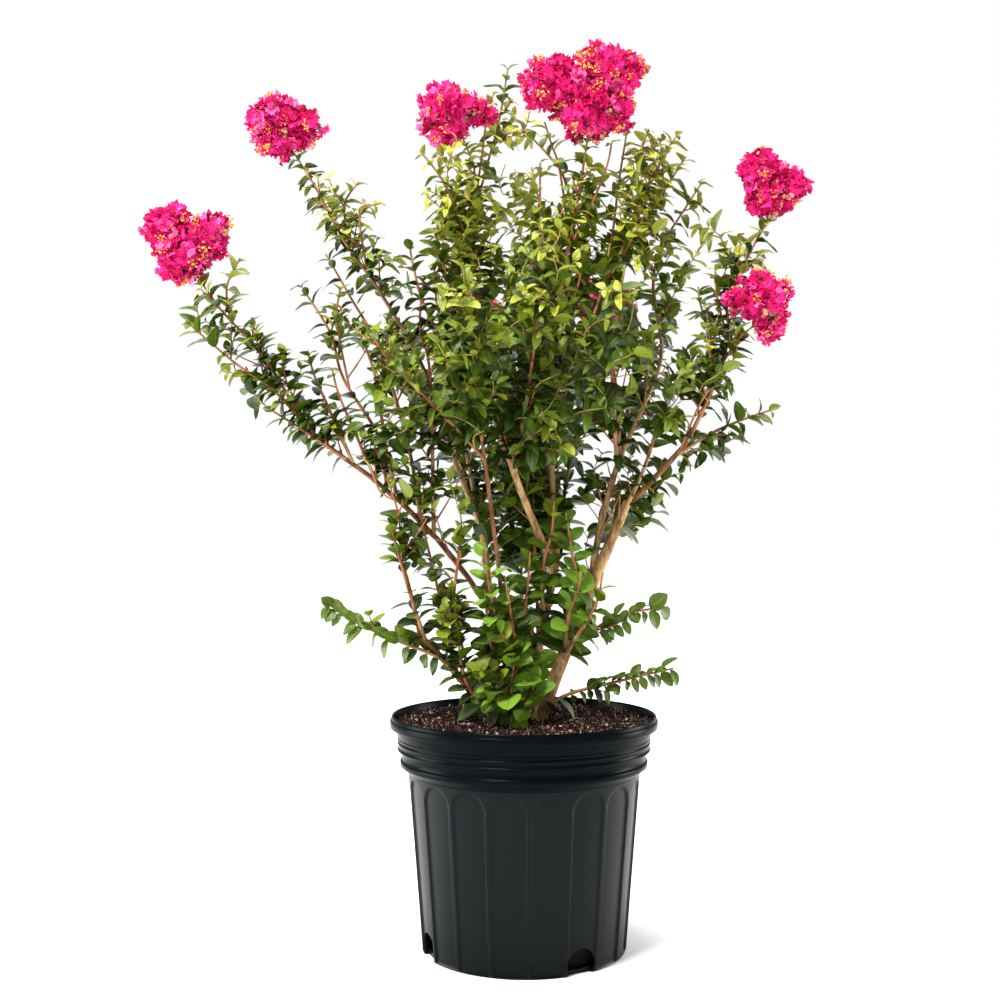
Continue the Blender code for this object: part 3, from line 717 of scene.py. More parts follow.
def makeLimbs(shoots, barkTree):
    look = {"patch": 105.0, "grain": 430.0, "share": 0.45, "contrast": 4.6, "stretch": 0.30,
            "rough": (0.70, 0.90), "bump": 0.7, "relief": 0.0016, "constants": {"Specular IOR Level": 0.22}}
    barks = {key: mottledMaterial("bark" + key.capitalize(), *limbs[key], look) for key in ("tan", "young")}
    for name, shoot in shoots.items():
        rings = max(6, round(shoot.length / limbs["ringStep"]))
        line, radii = [], []
        for i in range(rings + 1):
            share = i / rings
            radius = shoot.radius(share)
            if name in stems:
                near = max(0.0, 1.0 - share * shoot.length / limbs["flareHeight"])
                radius *= 1.0 + (limbs["flare"] - 1.0) * near * near
            line.append(shoot.at(share)[0])
            radii.append(radius)
        mesh = newMesh(name + "_bark", line, [(i, i + 1) for i in range(rings)], [])
        setValues(mesh, "thick", "FLOAT", "POINT", radii)
        piece = addPiece(mesh.name, mesh)
        bark = barks["young" if name in limbs["youngLimbs"] else "tan"]
        relief = limbs["relief"] * radii[-1] / limbs["reliefRadius"]
        useTree(piece, barkTree, {"Sides": limbs["sides"], "Relief": relief, "Bark": bark})
        makePlain(piece)
        piece.data.shade_smooth()
        piece.data.set_sharp_from_angle(angle=math.radians(60))
        handOver(piece, "bark", name)


# Leaders: the long leafy shoots that the photograph shows, and those of the far side.
# Each leaves its parent at a share of the parent's length and runs smoothly through its knots.
leaders = {                  # parent, share of its length, then the knots in millimetres
    "armTip": ("bough_left_arm", 1.0, (-224, -32, 544), (-264, -35, 610), (-307, -35, 657),
        (-338, -35, 700)),
    "armFork": ("armTip", 0.72, (-304, -30, 682), (-291, -26, 713)),
    "armLower": ("armTip", 0.10, (-258, -40, 580), (-294, -46, 605), (-342, -48, 646)),
    "armRise": ("bough_left_arm", 0.90, (-200, -30, 560), (-214, -32, 592), (-221, -32, 618)),
    "armRiseTip": ("armTip", 0.14, (-243, -34, 588), (-246, -34, 620)),
    "armRiseFoot": ("bough_left_arm", 0.78, (-176, -22, 540), (-190, -26, 574), (-197, -26, 600)),
    "armNear": ("bough_left_arm", 0.93, (-215, -36, 530), (-262, -40, 560)),
    "innerLow": ("bough_left_arm", 0.72, (-150, -10, 530), (-188, 0, 592), (-202, 2, 640), (-232, 4, 688)),
    "innerHigh": ("bough_left_arm", 0.52, (-120, 0, 520), (-150, 12, 620), (-184, 15, 682), (-208, 12, 724)),
    "innerFill": ("innerLow", 0.50, (-194, -6, 650), (-190, -10, 686)),
    "innerRise": ("bough_left_arm", 0.44, (-96, -30, 590), (-106, -36, 640), (-103, -36, 690)),
    "innerFront": ("bough_left_arm", 0.66, (-142, -24, 520), (-152, -30, 590), (-172, -30, 648)),
    "leftSpire": ("stem_middle_left", 1.0, (-70, 20, 500), (-104, 20, 600), (-152, 20, 686), (-189, 25, 739),
        (-220, 28, 796), (-246, 30, 838)),
    "spireSide": ("leftSpire", 0.74, (-190, 32, 780), (-176, 34, 804)),
    "spireInner": ("leftSpire", 0.66, (-172, 14, 766), (-150, 6, 776)),
    "upperLeft": ("bough_centre", 1.0, (-26, -26, 534), (-43, -8, 620), (-56, 12, 720), (-51, 20, 806),
        (-64, 20, 848)),
    "upperLeftLow": ("upperLeft", 0.36, (-60, -24, 640), (-78, -28, 690), (-92, -28, 738)),
    "upperLeftEdge": ("upperLeft", 0.24, (-76, -32, 618), (-102, -36, 664), (-114, -36, 708),
        (-117, -34, 728)),
    "upperLeftMid": ("upperLeft", 0.24, (-50, -30, 618), (-56, -40, 660), (-58, -42, 704)),
    "upperLeftHide": ("upperLeft", 0.20, (-72, -30, 612), (-88, -34, 660), (-92, -34, 706)),
    "upperLeftOuter": ("upperLeft", 0.62, (-67, 0, 760), (-86, -4, 800), (-108, -4, 828)),
    "topLeft": ("stem_middle_left", 0.96, (-62, 30, 530), (-68, 34, 640), (-60, 35, 730), (-43, 50, 810),
        (-27, 55, 870), (-16, 55, 932)),
    "topLeftNear": ("topLeft", 0.66, (-44, 36, 834), (-40, 34, 864), (-32, 34, 898)),
    "topMiddle": ("bough_centre", 1.0, (6, -22, 580), (36, -14, 680), (52, -12, 760), (60, -14, 802),
        (66, -18, 842)),
    "middlePlume": ("stem_centre", 1.0, (30, 30, 520), (40, 38, 640), (52, 30, 745), (44, 22, 803),
        (24, 20, 832), (-2, 20, 858)),
    "plumeRight": ("middlePlume", 0.70, (38, 14, 812), (30, 10, 836), (22, 10, 862)),
    "plumeFrontRight": ("topMiddle", 0.28, (68, -24, 610), (92, -30, 650), (102, -32, 704)),
    "plumeFrontLeft": ("topMiddle", 0.38, (52, -34, 676), (60, -44, 722)),
    "plumeFront": ("topMiddle", 0.34, (60, -30, 636), (80, -38, 684), (87, -38, 726)),
    "middleRight": ("topMiddle", 0.66, (74, -16, 780), (86, -18, 812), (90, -16, 832)),
    "middleSmall": ("topMiddle", 0.62, (18, -4, 770), (8, 0, 812)),
    "rightSpire": ("bough_right_fork", 1.0, (128, 28, 567), (147, 30, 622), (138, 30, 690), (146, 30, 732),
        (171, 30, 774), (190, 30, 803)),
    "forkInner": ("rightSpire", 0.36, (128, 20, 640), (114, 14, 668)),
    "topRight": ("bough_right_fork", 0.96, (96, 12, 590), (80, -6, 676), (104, -5, 729), (122, -2, 777),
        (147, 0, 826), (160, 0, 846)),
    "topRightNear": ("topRight", 0.42, (94, 6, 752), (100, 10, 800), (108, 10, 850)),
    "topRightOuter": ("topRight", 0.56, (134, 8, 768), (154, 10, 800), (170, 12, 826)),
    "topRightInner": ("topRight", 0.76, (120, 0, 818), (130, 0, 852)),
    "rightArm": ("bough_right_arm", 1.0, (186, -8, 560), (201, -20, 598), (210, -22, 636), (210, -14, 676),
        (232, -6, 717), (254, 0, 758)),
    "lowRightHead": ("rightArm", 0.36, (218, -36, 630), (230, -44, 640)),
    "rightArmInner": ("rightArm", 0.34, (190, -18, 642), (182, -14, 668), (180, -12, 686)),
    "rightArmFill": ("rightArm", 0.46, (198, -24, 672), (196, -22, 706)),
    "rightArmLow": ("rightArm", 0.10, (196, -28, 590), (188, -36, 620), (196, -38, 650)),
    "rightArmNear": ("rightArm", 0.24, (214, -36, 612), (212, -40, 646)),
    "rightArmSide": ("rightArm", 0.70, (216, 0, 714), (204, 2, 742)),
    "rightLow": ("bough_right_arm", 0.80, (198, 12, 536), (231, 20, 550), (266, 24, 562)),
    "rightSide": ("bough_right_arm", 0.90, (178, -26, 560), (196, -44, 600)),
    "rightCross": ("stem_right", 0.93, (125, -10, 500), (142, -36, 560), (170, -48, 612)),
    "frontLeft": ("stem_front", 1.0, (-50, -82, 596), (-56, -114, 650), (-60, -136, 690)),
    "frontFarLeft": ("stem_front", 0.94, (-80, -66, 550), (-128, -92, 596), (-158, -110, 640)),
    "frontMiddle": ("bough_centre", 0.96, (4, -66, 580), (14, -108, 668), (16, -134, 728)),
    "frontRight": ("bough_right_fork", 0.90, (92, -24, 560), (86, -82, 620), (94, -130, 686)),
    "backLeft": ("stem_middle_left", 0.98, (-60, 66, 524), (-58, 130, 586), (-55, 196, 640),
        (-54, 232, 666)),
    "backRight": ("stem_centre", 0.98, (50, 60, 500), (78, 122, 576), (92, 190, 640), (97, 226, 674)),
    "besideLeftA": ("backLeft", 0.62, (-78, 176, 636), (-94, 196, 672), (-98, 206, 712)),
    "besideLeftB": ("backLeft", 0.66, (-66, 180, 646), (-76, 198, 684), (-78, 204, 722)),
    "besideLeftC": ("backLeft", 0.70, (-54, 188, 660), (-56, 198, 694), (-58, 202, 730)),
    "besideLeftD": ("backLeft", 0.68, (-42, 184, 650), (-36, 198, 686), (-36, 204, 722)),
    "besideRightA": ("backRight", 0.62, (76, 172, 640), (62, 190, 676), (60, 198, 716)),
    "besideRightB": ("backRight", 0.66, (84, 176, 650), (78, 192, 690), (78, 196, 728)),
    "besideRightC": ("backRight", 0.70, (96, 180, 660), (96, 190, 696), (98, 194, 734)),
    "besideRightD": ("backRight", 0.68, (106, 178, 652), (114, 192, 688), (118, 198, 722)),
    "backLow": ("stem_centre", 0.94, (12, 70, 460), (0, 130, 502), (-4, 196, 552)),
    "backTop": ("stem_centre", 1.0, (24, 60, 540), (22, 96, 680), (20, 104, 780), (20, 108, 842)),
    "backMiddle": ("backTop", 0.42, (14, 130, 660), (10, 190, 722), (10, 226, 770)),
    "backFarLeft": ("stem_middle_left", 1.0, (-85, 74, 552), (-128, 130, 626), (-160, 172, 680)),
    "backFarRight": ("bough_right_fork", 1.0, (114, 72, 560), (146, 130, 652), (170, 172, 718)),
    "lowLeft": ("bough_left_shoot", 1.0, (-128, -38, 450), (-138, -40, 484)),
    "lowLeftInner": ("stem_left", 0.55, (-82, -20, 345), (-97, -22, 409), (-112, -28, 474)),
    "lowLeftRise": ("lowLeft", 0.80, (-146, -44, 474), (-156, -46, 500)),
    "lowLeftNear": ("stem_left", 0.62, (-72, -30, 366), (-68, -36, 400), (-64, -36, 436)),
    "footLeft": ("stem_left", 0.10, (-56, -32, 274), (-64, -38, 300), (-68, -36, 328)),
    "lowLeftFront": ("stem_left", 0.92, (-112, -36, 356), (-124, -50, 400), (-136, -54, 446)),
    "sprigLeft": ("stem_left", 0.48, (-86, -18, 302), (-124, -18, 318), (-168, -14, 336), (-203, -11, 358)),
    "sprigRight": ("stem_right", 0.33, (64, 0, 322), (96, 0, 344), (144, 0, 354)),
    "sprigLow": ("stem_right", 0.10, (46, 0, 263), (100, 0, 277), (156, 0, 290)),
    "footRed": ("stem_front", 0.05, (-22, -46, 280), (-36, -52, 330), (-40, -50, 376)),
    "footFront": ("stem_front", 0.04, (-14, -54, 272), (-8, -60, 320)),
    "footNear": ("stem_front", 0.03, (4, -44, 262), (12, -52, 292)),
    "lowFront": ("stem_front", 0.32, (-28, -50, 346), (-36, -60, 382), (-40, -64, 420)),
    "lowFrontInner": ("stem_front", 0.20, (-10, -52, 318), (-14, -60, 352), (-20, -62, 390)),
    "lowFrontHigh": ("stem_centre", 0.62, (20, -18, 400), (28, -34, 432), (30, -40, 464)),
    "lowFrontLeft": ("stem_left", 0.30, (-64, -32, 318), (-70, -40, 350), (-74, -42, 386)),
    "lowFrontRight": ("stem_centre", 0.50, (2, -14, 348), (4, -30, 382), (6, -36, 412)),
    "lowRightFront": ("stem_right", 0.34, (46, -20, 346), (54, -32, 372), (58, -36, 396)),
    "lowRightNear": ("stem_right", 0.30, (60, -26, 336), (74, -34, 362), (80, -34, 392)),
    "lowRightInner": ("stem_right", 0.56, (52, -20, 396), (46, -30, 428), (42, -34, 452)),
    "slimDark": ("stem_centre", 0.05, (-6, 32, 290), (-3, 36, 360), (0, 42, 440)),
    "slimBrown": ("stem_centre", 0.08, (14, 14, 300), (14, 12, 365), (11, 12, 432), (10, 10, 500)),
}
growth = {
    "seed": 21, "step": 0.007, "spotEvery": 0.008,
    "leaderFoot": 0.0025, "leaderTip": 0.0010, "shareOfParent": 0.86, "leaderInset": 0.002,
    "sideFirst": 0.012, "sideEvery": 0.0155, "sideLeave": 44.0, "sideWobble": 9, "sideTurn": 137.5,
    "sideRise": 0.34, "sideWander": 0.10, "sideProbe": 0.006, "sideLight": 0.22, "sideFade": 0.55,
    "sideShort": 0.014, "sideLong": 0.085, "sideReach": 0.94, "sideFoot": 0.0011, "sideTip": 0.0005,
    "fillTries": 2200, "fillLong": 0.085, "fillSkin": 0.008, "fillGap": 0.0170, "fillTip": 0.010,
    "fillBow": 0.16, "fillSteep": 1.2, "fillDrop": 0.012,    # a fill twig starts below its tip
}
fillGaps = {                 # the gap kept between shoots: wide where single ones show against the sky
    0.0270: ("foot", "centre_right", "foot_right"),
    0.0240: ("left_spire", "left_arm_tip", "right_arm", "right_low", "low_left", "left_inner"),
    0.0225: ("centre_left", "sprig_left", "sprig_right", "sprig_low", "right_spire", "back_far_right"),
    0.0205: ("top_left", "foot_left", "front_right"),
    0.0155: ("left_arm", "low_middle", "low_right", "right_side", "top_right"),
    0.0145: ("upper_left", "top_middle"),
}
gapOf = {"foliage_" + word: gap for gap, words in fillGaps.items() for word in words}
skyWindows = {               # where the sky shows through: across and height at the pot's axis, half sizes
    "leftFork": (-0.178, 0.604, 0.016, 0.022), "leftForkTop": (-0.164, 0.670, 0.011, 0.012),
    "betweenTops": (-0.007, 0.823, 0.020, 0.013), "underTop": (0.028, 0.790, 0.012, 0.015),
    "besideTop": (0.089, 0.826, 0.013, 0.008), "rightFork": (0.124, 0.662, 0.008, 0.013),
    "rightMiddle": (0.099, 0.594, 0.013, 0.008), "rightHigh": (0.109, 0.702, 0.012, 0.007),
    "underRightArm": (0.170, 0.564, 0.009, 0.009), "underRightTip": (0.200, 0.548, 0.007, 0.009),
    "rightStem": (0.073, 0.452, 0.008, 0.014), "rightStemTop": (0.091, 0.496, 0.008, 0.009),
    "besideStem": (0.086, 0.527, 0.007, 0.006), "leftStem": (-0.081, 0.454, 0.010, 0.015),
    "leftStemLow": (-0.096, 0.427, 0.007, 0.008), "leftLow": (-0.122, 0.385, 0.008, 0.007),
    "underLeftArm": (-0.182, 0.524, 0.011, 0.007), "leftMiddle": (-0.130, 0.573, 0.009, 0.008),
    "leftInner": (-0.102, 0.608, 0.008, 0.009), "leftTip": (-0.290, 0.611, 0.009, 0.006),
}
windowEdge = 0.0015          # how far twigs and leaves stay clear of each window


def leaning(ahead, degrees, around):
    # a way that leaves another at so many degrees, at a turn round it
    side = ahead.orthogonal().normalized()
    side.rotate(Matrix.Rotation(around, 3, ahead))
    angle = math.radians(degrees)
    return (ahead * math.cos(angle) + side * math.sin(angle)).normalized()


def closedTree(node):
    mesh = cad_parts[node].data
    faces = [tuple(face.vertices) for face in mesh.polygons]
    return BVHTree.FromPolygons([vert.co for vert in mesh.vertices], faces)


def seenFrom(point):
    # where a point stands in the camera's view, at unit distance
    away = point[1] - view["place"][1]
    return (point[0] - view["place"][0]) / away, (point[2] - view["place"][2]) / away


def beforeSky(point):
    # true where a point would close one of the sky windows of the camera's view
    across, height = seenFrom(point)
    for x, z, halfAcross, halfUp in skyWindows.values():
        middle = seenFrom((x, 0.0, z))
        reach = -view["place"][1]
        aside = (across - middle[0]) * reach / (halfAcross + windowEdge)
        above = (height - middle[1]) * reach / (halfUp + windowEdge)
        if aside * aside + above * above < 1.0:
            return True
    return False


class Canopy:
    # the foliage masses as the space that shoots may fill, and the shoots that fill it
    def __init__(self, limbShoots):
        self.masses = {name: closedTree(name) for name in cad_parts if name.startswith("foliage")}
        self.boxes = {name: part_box(name) for name in self.masses}
        self.shoots = []
        self.limbShoots = limbShoots
        self.generator = random.Random(growth["seed"])
        self.spots = []

    def inside(self, name, point):
        low, high = self.boxes[name]
        if any(point[i] < low[i] or point[i] > high[i] for i in range(3)):
            return False
        spot, normal, _, _ = self.masses[name].find_nearest(point)
        return (point - spot).dot(normal) < 0

    def massAt(self, point):
        for name in self.masses:
            if self.inside(name, point):
                return name
        return None

    def nearestMass(self, point):
        best = None
        for name, tree in self.masses.items():
            distance = tree.find_nearest(point)[3]
            if best is None or distance < best[0]:
                best = (distance, name)
        return best[1]

    def reach(self, name, point, way):
        # how far a mass goes on from a point inside it
        spot, _, _, distance = self.masses[name].ray_cast(point, way)
        return 0.0 if spot is None else distance

    def add(self, shoot):
        self.shoots.append(shoot)
        count = max(2, round(shoot.length / growth["spotEvery"]))
        for i in range(1, count + 1):
            self.spots.append((shoot.at(i / count)[0], shoot, i / count))

    def growLeaders(self):
        known = dict(self.limbShoots)
        for name, (parentName, share, *places) in leaders.items():
            knots = [Vector([value / 1000 for value in place]) for place in places]
            parent = known[parentName]
            start, ahead = parent.at(share)
            if share < 1.0:
                start = start - ahead * growth["leaderInset"]
            foot = min(growth["leaderFoot"], parent.radius(share) * growth["shareOfParent"])
            if share == 1.0:
                foot = parent.radius(1.0) * 0.97
            length = sum((b - a).length for a, b in zip(knots, knots[1:]))
            foot = max(foot, 0.0011) if length > 0.05 else max(min(foot, 0.0013), 0.0009)
            points = smoothPath([start, *knots], growth["step"])
            shoot = Shoot(name, points, foot, growth["leaderTip"], leaderRank)
            known[name] = shoot
            self.add(shoot)

    def sideShoot(self, start, way, length, mass, foot):
        # a twig that turns towards the light and wanders a little
        g = self.generator
        steps = max(2, round(length / growth["step"]))
        points = [start]
        for i in range(steps):
            wander = Vector([g.gauss(0, growth["sideWander"]) for _ in range(3)])
            way = (way + (upward * growth["sideRise"] + wander) * (1.0 / steps)).normalized()
            points.append(points[-1] + way * (length / steps))
        if beforeSky(points[-1]):
            return
        self.add(Shoot("side", points, foot, growth["sideTip"], sideRank, mass))

    def growSides(self):
        g = self.generator
        parents = list(self.limbShoots.values()) + list(self.shoots)
        for parent in parents:
            turn = g.uniform(0, math.tau)
            distance = growth["sideFirst"]
            while distance < parent.length - growth["sideFirst"]:
                share = distance / parent.length
                start, ahead = parent.at(share)
                wobble = g.uniform(-growth["sideWobble"], growth["sideWobble"])
                way = leaning(ahead, growth["sideLeave"] + wobble, turn)
                probe = start + way * (parent.radius(share) + growth["sideProbe"])
                mass = self.massAt(probe)
                if mass is not None:
                    room = self.reach(mass, probe, (way + upward * growth["sideLight"]).normalized())
                    fade = 1.0 - growth["sideFade"] * share if parent.rank == leaderRank else 1.0
                    longest = min(growth["sideLong"] * fade, room * growth["sideReach"])
                    length = longest * g.uniform(0.72, 1.0)
                    if length > growth["sideShort"]:
                        foot = min(growth["sideFoot"], parent.radius(share) * 0.8)
                        self.sideShoot(start, way, length, mass, foot)
                turn += math.radians(growth["sideTurn"]) + g.uniform(-0.3, 0.3)
                distance += growth["sideEvery"] * g.uniform(0.75, 1.25)

    def fillMasses(self):
        # twigs to the places in each mass that no shoot has come near
        g = self.generator
        for name in sorted(self.masses):
            low, high = self.boxes[name]
            gap = gapOf.get(name, growth["fillGap"])
            near = np.array([spot[0] for spot in self.spots])
            for _ in range(growth["fillTries"]):
                target = Vector([g.uniform(low[i], high[i]) for i in range(3)])
                if not self.inside(name, target):
                    continue
                if self.masses[name].find_nearest(target)[3] < growth["fillSkin"] or beforeSky(target):
                    continue
                away = np.linalg.norm(near - np.array(target), axis=1)
                if away.min() < gap:
                    continue
                steep = near[:, 2] - target.z
                cost = away + growth["fillSteep"] * np.maximum(0.0, steep + growth["fillDrop"])
                best = int(cost.argmin())
                if away[best] > growth["fillLong"]:
                    continue
                start, parent, share = self.spots[best]
                ahead = parent.at(share)[1]
                middle = start.lerp(target, 0.5) + ahead * (away[best] * growth["fillBow"])
                tip = target + (target - middle).normalized() * growth["fillTip"]
                points = smoothPath([start, middle, tip], growth["step"])
                foot = min(growth["sideFoot"], max(0.0006, parent.radius(share) * 0.85))
                self.add(Shoot("fill", points, foot, growth["sideTip"], fillRank, name))
                fresh = [spot[0] for spot in self.spots[len(near):]]
                near = np.vstack([near, np.array(fresh)])


# Leaves
leafShapes = {               # width to length, fold in degrees, curl in degrees, wave at the edge
    "leafASlim": (0.42, 32.0, 56.0, 0.010),
    "leafBSickle": (0.46, 38.0, 78.0, 0.010),
    "leafCFolded": (0.52, 27.0, 50.0, 0.012),
    "leafDPlain": (0.60, 19.0, 34.0, 0.016),
    "leafEBroad": (0.72, 13.0, 26.0, 0.020),
    "leafFRound": (0.84, 10.0, 20.0, 0.022),
}
leaf = {
    "rows": (0.0, 0.10, 0.32, 0.56, 0.78, 0.93, 1.0), "columns": (-1.0, -0.5, -0.055, 0.055, 0.5, 1.0),
    "every": 0.0125, "first": 0.007, "long": 0.0265, "seed": 4, "lost": 0.05,
    "bareFoot": 0.30, "youngEnd": 0.026, "past": 0.009, "overRim": 0.262, "nearRim": 0.12,
    "openFoot": 64.0, "openTip": 36.0, "level": 0.75, "openHalf": 0.0075,
    "openShare": 0.85,           # of the leaves before a limb that shows, so many are left out
    "openLimbs": (("bough_right_fork", 0.2, 1.0), ("rightSpire", 0.0, 0.38), ("bough_centre", 0.1, 1.0),
                  ("stem_front", 0.62, 1.0), ("stem_right", 0.0, 0.34), ("stem_right", 0.66, 1.0),
                  ("bough_left_arm", 0.25, 1.0), ("bough_right_arm", 0.5, 1.0), ("rightArm", 0.0, 0.22)),
}
leafTints = {                # plain base colours, dealt out by spray
    "leafDeep": (0.027, 0.056, 0.003),
    "leafMid": (0.064, 0.112, 0.005),
    "leafFresh": (0.172, 0.228, 0.012),
    "leafYoung": (0.335, 0.362, 0.034),
    "leafLime": (0.455, 0.430, 0.068),
    "leafFoot": (0.155, 0.290, 0.022),
    "leafBronze": (0.340, 0.180, 0.030),
}
leafRib = (0.150, 0.195, 0.026)
tintDeep, tintMid, tintFresh, tintYoung, tintLime, tintFoot, tintBronze = range(len(leafTints))
leafLight = {
    "from": 0.575, "over": 0.27, "middle": (0.01, 0.03), "outOver": 0.26, "outShare": 0.16, "uneven": 0.15,
    "mid": 0.16, "fresh": 0.50, "young": 0.95,   # a spray that sees more than this gets the tint
    "freshTop": 0.46, "limeFrom": 0.77,          # no tip below the first is young, none below the last lime
}


def leafOutline(share):
    # half width of a blade of length 1, a blunt oval
    return math.sin(math.pi * share ** 0.94) ** 0.62 if 0 < share < 1 else 0.0


def makeLeafShapes():
    chooser = random.Random(leaf["seed"])
    meshes = []
    for name, (width, fold, curl, wave) in leafShapes.items():
        points, places = [], []
        for share in leaf["rows"]:
            half = 0.5 * width * leafOutline(share)
            bend = math.radians(curl) * share
            radius = 1.0 / math.radians(curl)
            y, z = radius * math.sin(bend), -radius * (1 - math.cos(bend))
            for across in leaf["columns"]:
                side = abs(across) * half
                lift = side * math.tan(math.radians(fold)) - (0.012 if abs(across) < 0.1 else 0.0)
                lift += wave * chooser.uniform(-1, 1) * (abs(across) > 0.9)
                points.append((across * half, y - lift * math.sin(bend), z + lift * math.cos(bend)))
                places.append((0.5 + across * 0.5, share))
        columns = len(leaf["columns"])
        mesh = newMesh(name, points, [], gridFaces(len(leaf["rows"]), columns, False))
        part = [int(i % (columns - 1) == columns // 2 - 1) for i in range(len(mesh.polygons))]
        setValues(mesh, "part", "INT", "FACE", part)
        mapBlade(mesh, places)
        mergeDoubles(mesh, 0.0005)
        mesh.shade_smooth()
        meshes.append(mesh)
    return shapeSet("leafShapes", meshes)


class Scatter:
    # places, directions, sizes and kinds of many small things, kept for one piece each
    def __init__(self):
        self.rows = []

    def add(self, place, along, face, size, shape, tint):
        self.rows.append((*place, *along, *face, *size, shape, tint))

    def piece(self, name, tree, values):
        rows = np.array(self.rows, dtype=np.float32)
        mesh = bpy.data.meshes.new(name)
        mesh.vertices.add(len(rows))
        mesh.vertices.foreach_set("co", rows[:, 0:3].ravel())
        for key, first in (("along", 3), ("face", 6), ("size", 9)):
            setValues(mesh, key, "FLOAT_VECTOR", "POINT", rows[:, first:first + 3].ravel())
        for key, column in (("shape", 12), ("tint", 13)):
            setValues(mesh, key, "INT", "POINT", rows[:, column].astype(np.int32))
        piece = addPiece(name, mesh)
        useTree(piece, tree, values)
        return makePlain(piece)


def makeSprayTree(name, tints, parts):
    # shapes set on points, turned by each point's own axes, realized, and coloured by tint and part
    tree, ask, out = newGroup(name, "GeometryNodeTree", {
        "Geometry": "Geometry", "Shapes": "Collection", "Size": 1.0}, {"Geometry": "Geometry"})
    turn = addNode(tree, "FunctionNodeAxesToRotation", {
        0: namedValue(tree, "along", "FLOAT_VECTOR"), 1: namedValue(tree, "face", "FLOAT_VECTOR")},
        primary_axis="Y", secondary_axis="Z")
    size = addNode(tree, "ShaderNodeVectorMath", {
        0: namedValue(tree, "size", "FLOAT_VECTOR"), "Scale": ask["Size"]}, operation="SCALE")
    placed = shapesAt(tree, ask["Geometry"], ask["Shapes"], {
        "Instance Index": namedValue(tree, "shape", "INT"),
        "Rotation": turn.outputs[0], "Scale": size.outputs[0]})
    flow = addNode(tree, "GeometryNodeRealizeInstances", {0: placed}).outputs[0]
    for key, materials in (("tint", tints), ("part", parts)):
        flow = paintBy(tree, flow, key, materials.items())
    tree.links.new(flow, out[0])
    return tree


def bladeMaterial(name, color, look):
    # look: roughness, vein count, slope and lift, edge lift, how much paler the underside is (below zero it
    # is darker, a painted shade), constants
    material, tree, shader = newMaterial(name, color, look["rough"], **look.get("constants", {}))
    skin = addNode(tree, "ShaderNodeGroup", {
        "Tint": (*color, 1.0), "Vein Count": look["count"], "Vein Slope": look["slope"],
        "Vein Lift": look["lift"], "Edge Lift": look["edge"]}, node_tree=bladeSkin)
    # the underside's colour: a little paler on the petals, and darker on the leaves as painted shade
    undersidePaleAndShade = [max(0.001, c * (1 + look["undersidePaleAndShade"]) + 0.03 * look["undersidePaleAndShade"]) for c in color]
    back = addNode(tree, "ShaderNodeNewGeometry").outputs["Backfacing"]
    color = mixColors(tree, back, skin.outputs["Color"], (*undersidePaleAndShade, 1.0))
    tree.links.new(color, shader.inputs["Base Color"])
    addBump(tree, shader, skin.outputs["Height"], look["bump"], 0.0004)
    return material


def makeLeafTree():
    # the leaves' undersides are painted darker than their tint, as shade
    look = {"rough": 0.36, "count": 9.0, "slope": 0.9, "lift": 0.16, "edge": -0.10, "undersidePaleAndShade": -0.12,
            "bump": 0.35, "constants": {"Specular IOR Level": 0.30}}
    tints = {i: bladeMaterial(name, color, look) for i, (name, color) in enumerate(leafTints.items())}
    rib = bladeMaterial("leafRib", leafRib, dict(look, count=1.0, lift=0.0))
    return makeSprayTree("leafSprays", tints, {1: rib})


def lightAt(point):
    # how much a spray sees of the sky: its height, and its distance from the crown's middle line
    height = (point.z - leafLight["from"]) / leafLight["over"]
    middle = leafLight["middle"]
    out = math.hypot(point.x - middle[0], point.y - middle[1]) / leafLight["outOver"]
    return max(0.0, height) + leafLight["outShare"] * out


leafHabits = (               # from this height up: shapes to choose from, length, how much turned outward
    (0.74, (0, 1, 1, 2), 0.98, 0.0),
    (0.62, (0, 1, 2, 2, 3), 1.00, 0.12),
    (0.47, (1, 2, 3, 4), 0.96, 0.25),
)


def habitAt(point):
    # the leaves' habit at a place; those at the front of the crown are a little smaller
    near = 1.0 + 0.7 * min(0.0, point.y)
    for height, shapes, grown, turned in leafHabits:
        if point.z > height:
            return shapes, grown * near, turned
    if point.x < -0.045:
        return (3, 4, 4, 5), 0.84, 0.1
    if point.z > 0.34 or abs(point.x) > 0.05:
        return (3, 4, 4, 5), 0.96, 0.8
    return (4, 4, 5), 1.16, 1.0


# the tint follows how much sky a spray sees: the deep and mid greens inside the crown are painted shade, and
# the paler greens at the top are partly painted light besides the young growth's own paler colour
def sprayTint(point, generator):
    seen = lightAt(point) + generator.gauss(0, leafLight["uneven"])
    if point.z < 0.38 and abs(point.x) > 0.06:
        return tintMid if generator.random() < 0.8 else tintFresh
    if point.z < 0.40 and generator.random() < (0.5 if abs(point.x) < 0.05 else 0.2):
        return tintFoot if generator.random() < 0.7 else tintMid
    if seen > leafLight["young"]:
        return tintYoung
    if seen > leafLight["fresh"]:
        return tintFresh
    return tintMid if seen > leafLight["mid"] else tintDeep


def leafTint(tint, place, share, near, young, level, generator):
    # a leaf's own tint: paler at the tip of its shoot, for the young leaves' own colour and as painted light
    # shining through them, sometimes darker towards the foot
    shade = tint
    if tint != tintFoot and not level and (near < leaf["youngEnd"] or generator.random() < 0.10):
        lime = young > 0.2 and place.z > leafLight["limeFrom"]
        most = tintFresh if place.z < leafLight["freshTop"] else tintLime if lime else tintYoung
        shade = min(most, tint + 1)
    elif tint in (tintMid, tintFresh, tintYoung) and share < 0.4 and generator.random() < 0.5:
        shade = tint - 1
    if young > 0.75 and tint == tintYoung and generator.random() < 0.22:
        shade = tintBronze
    return shade


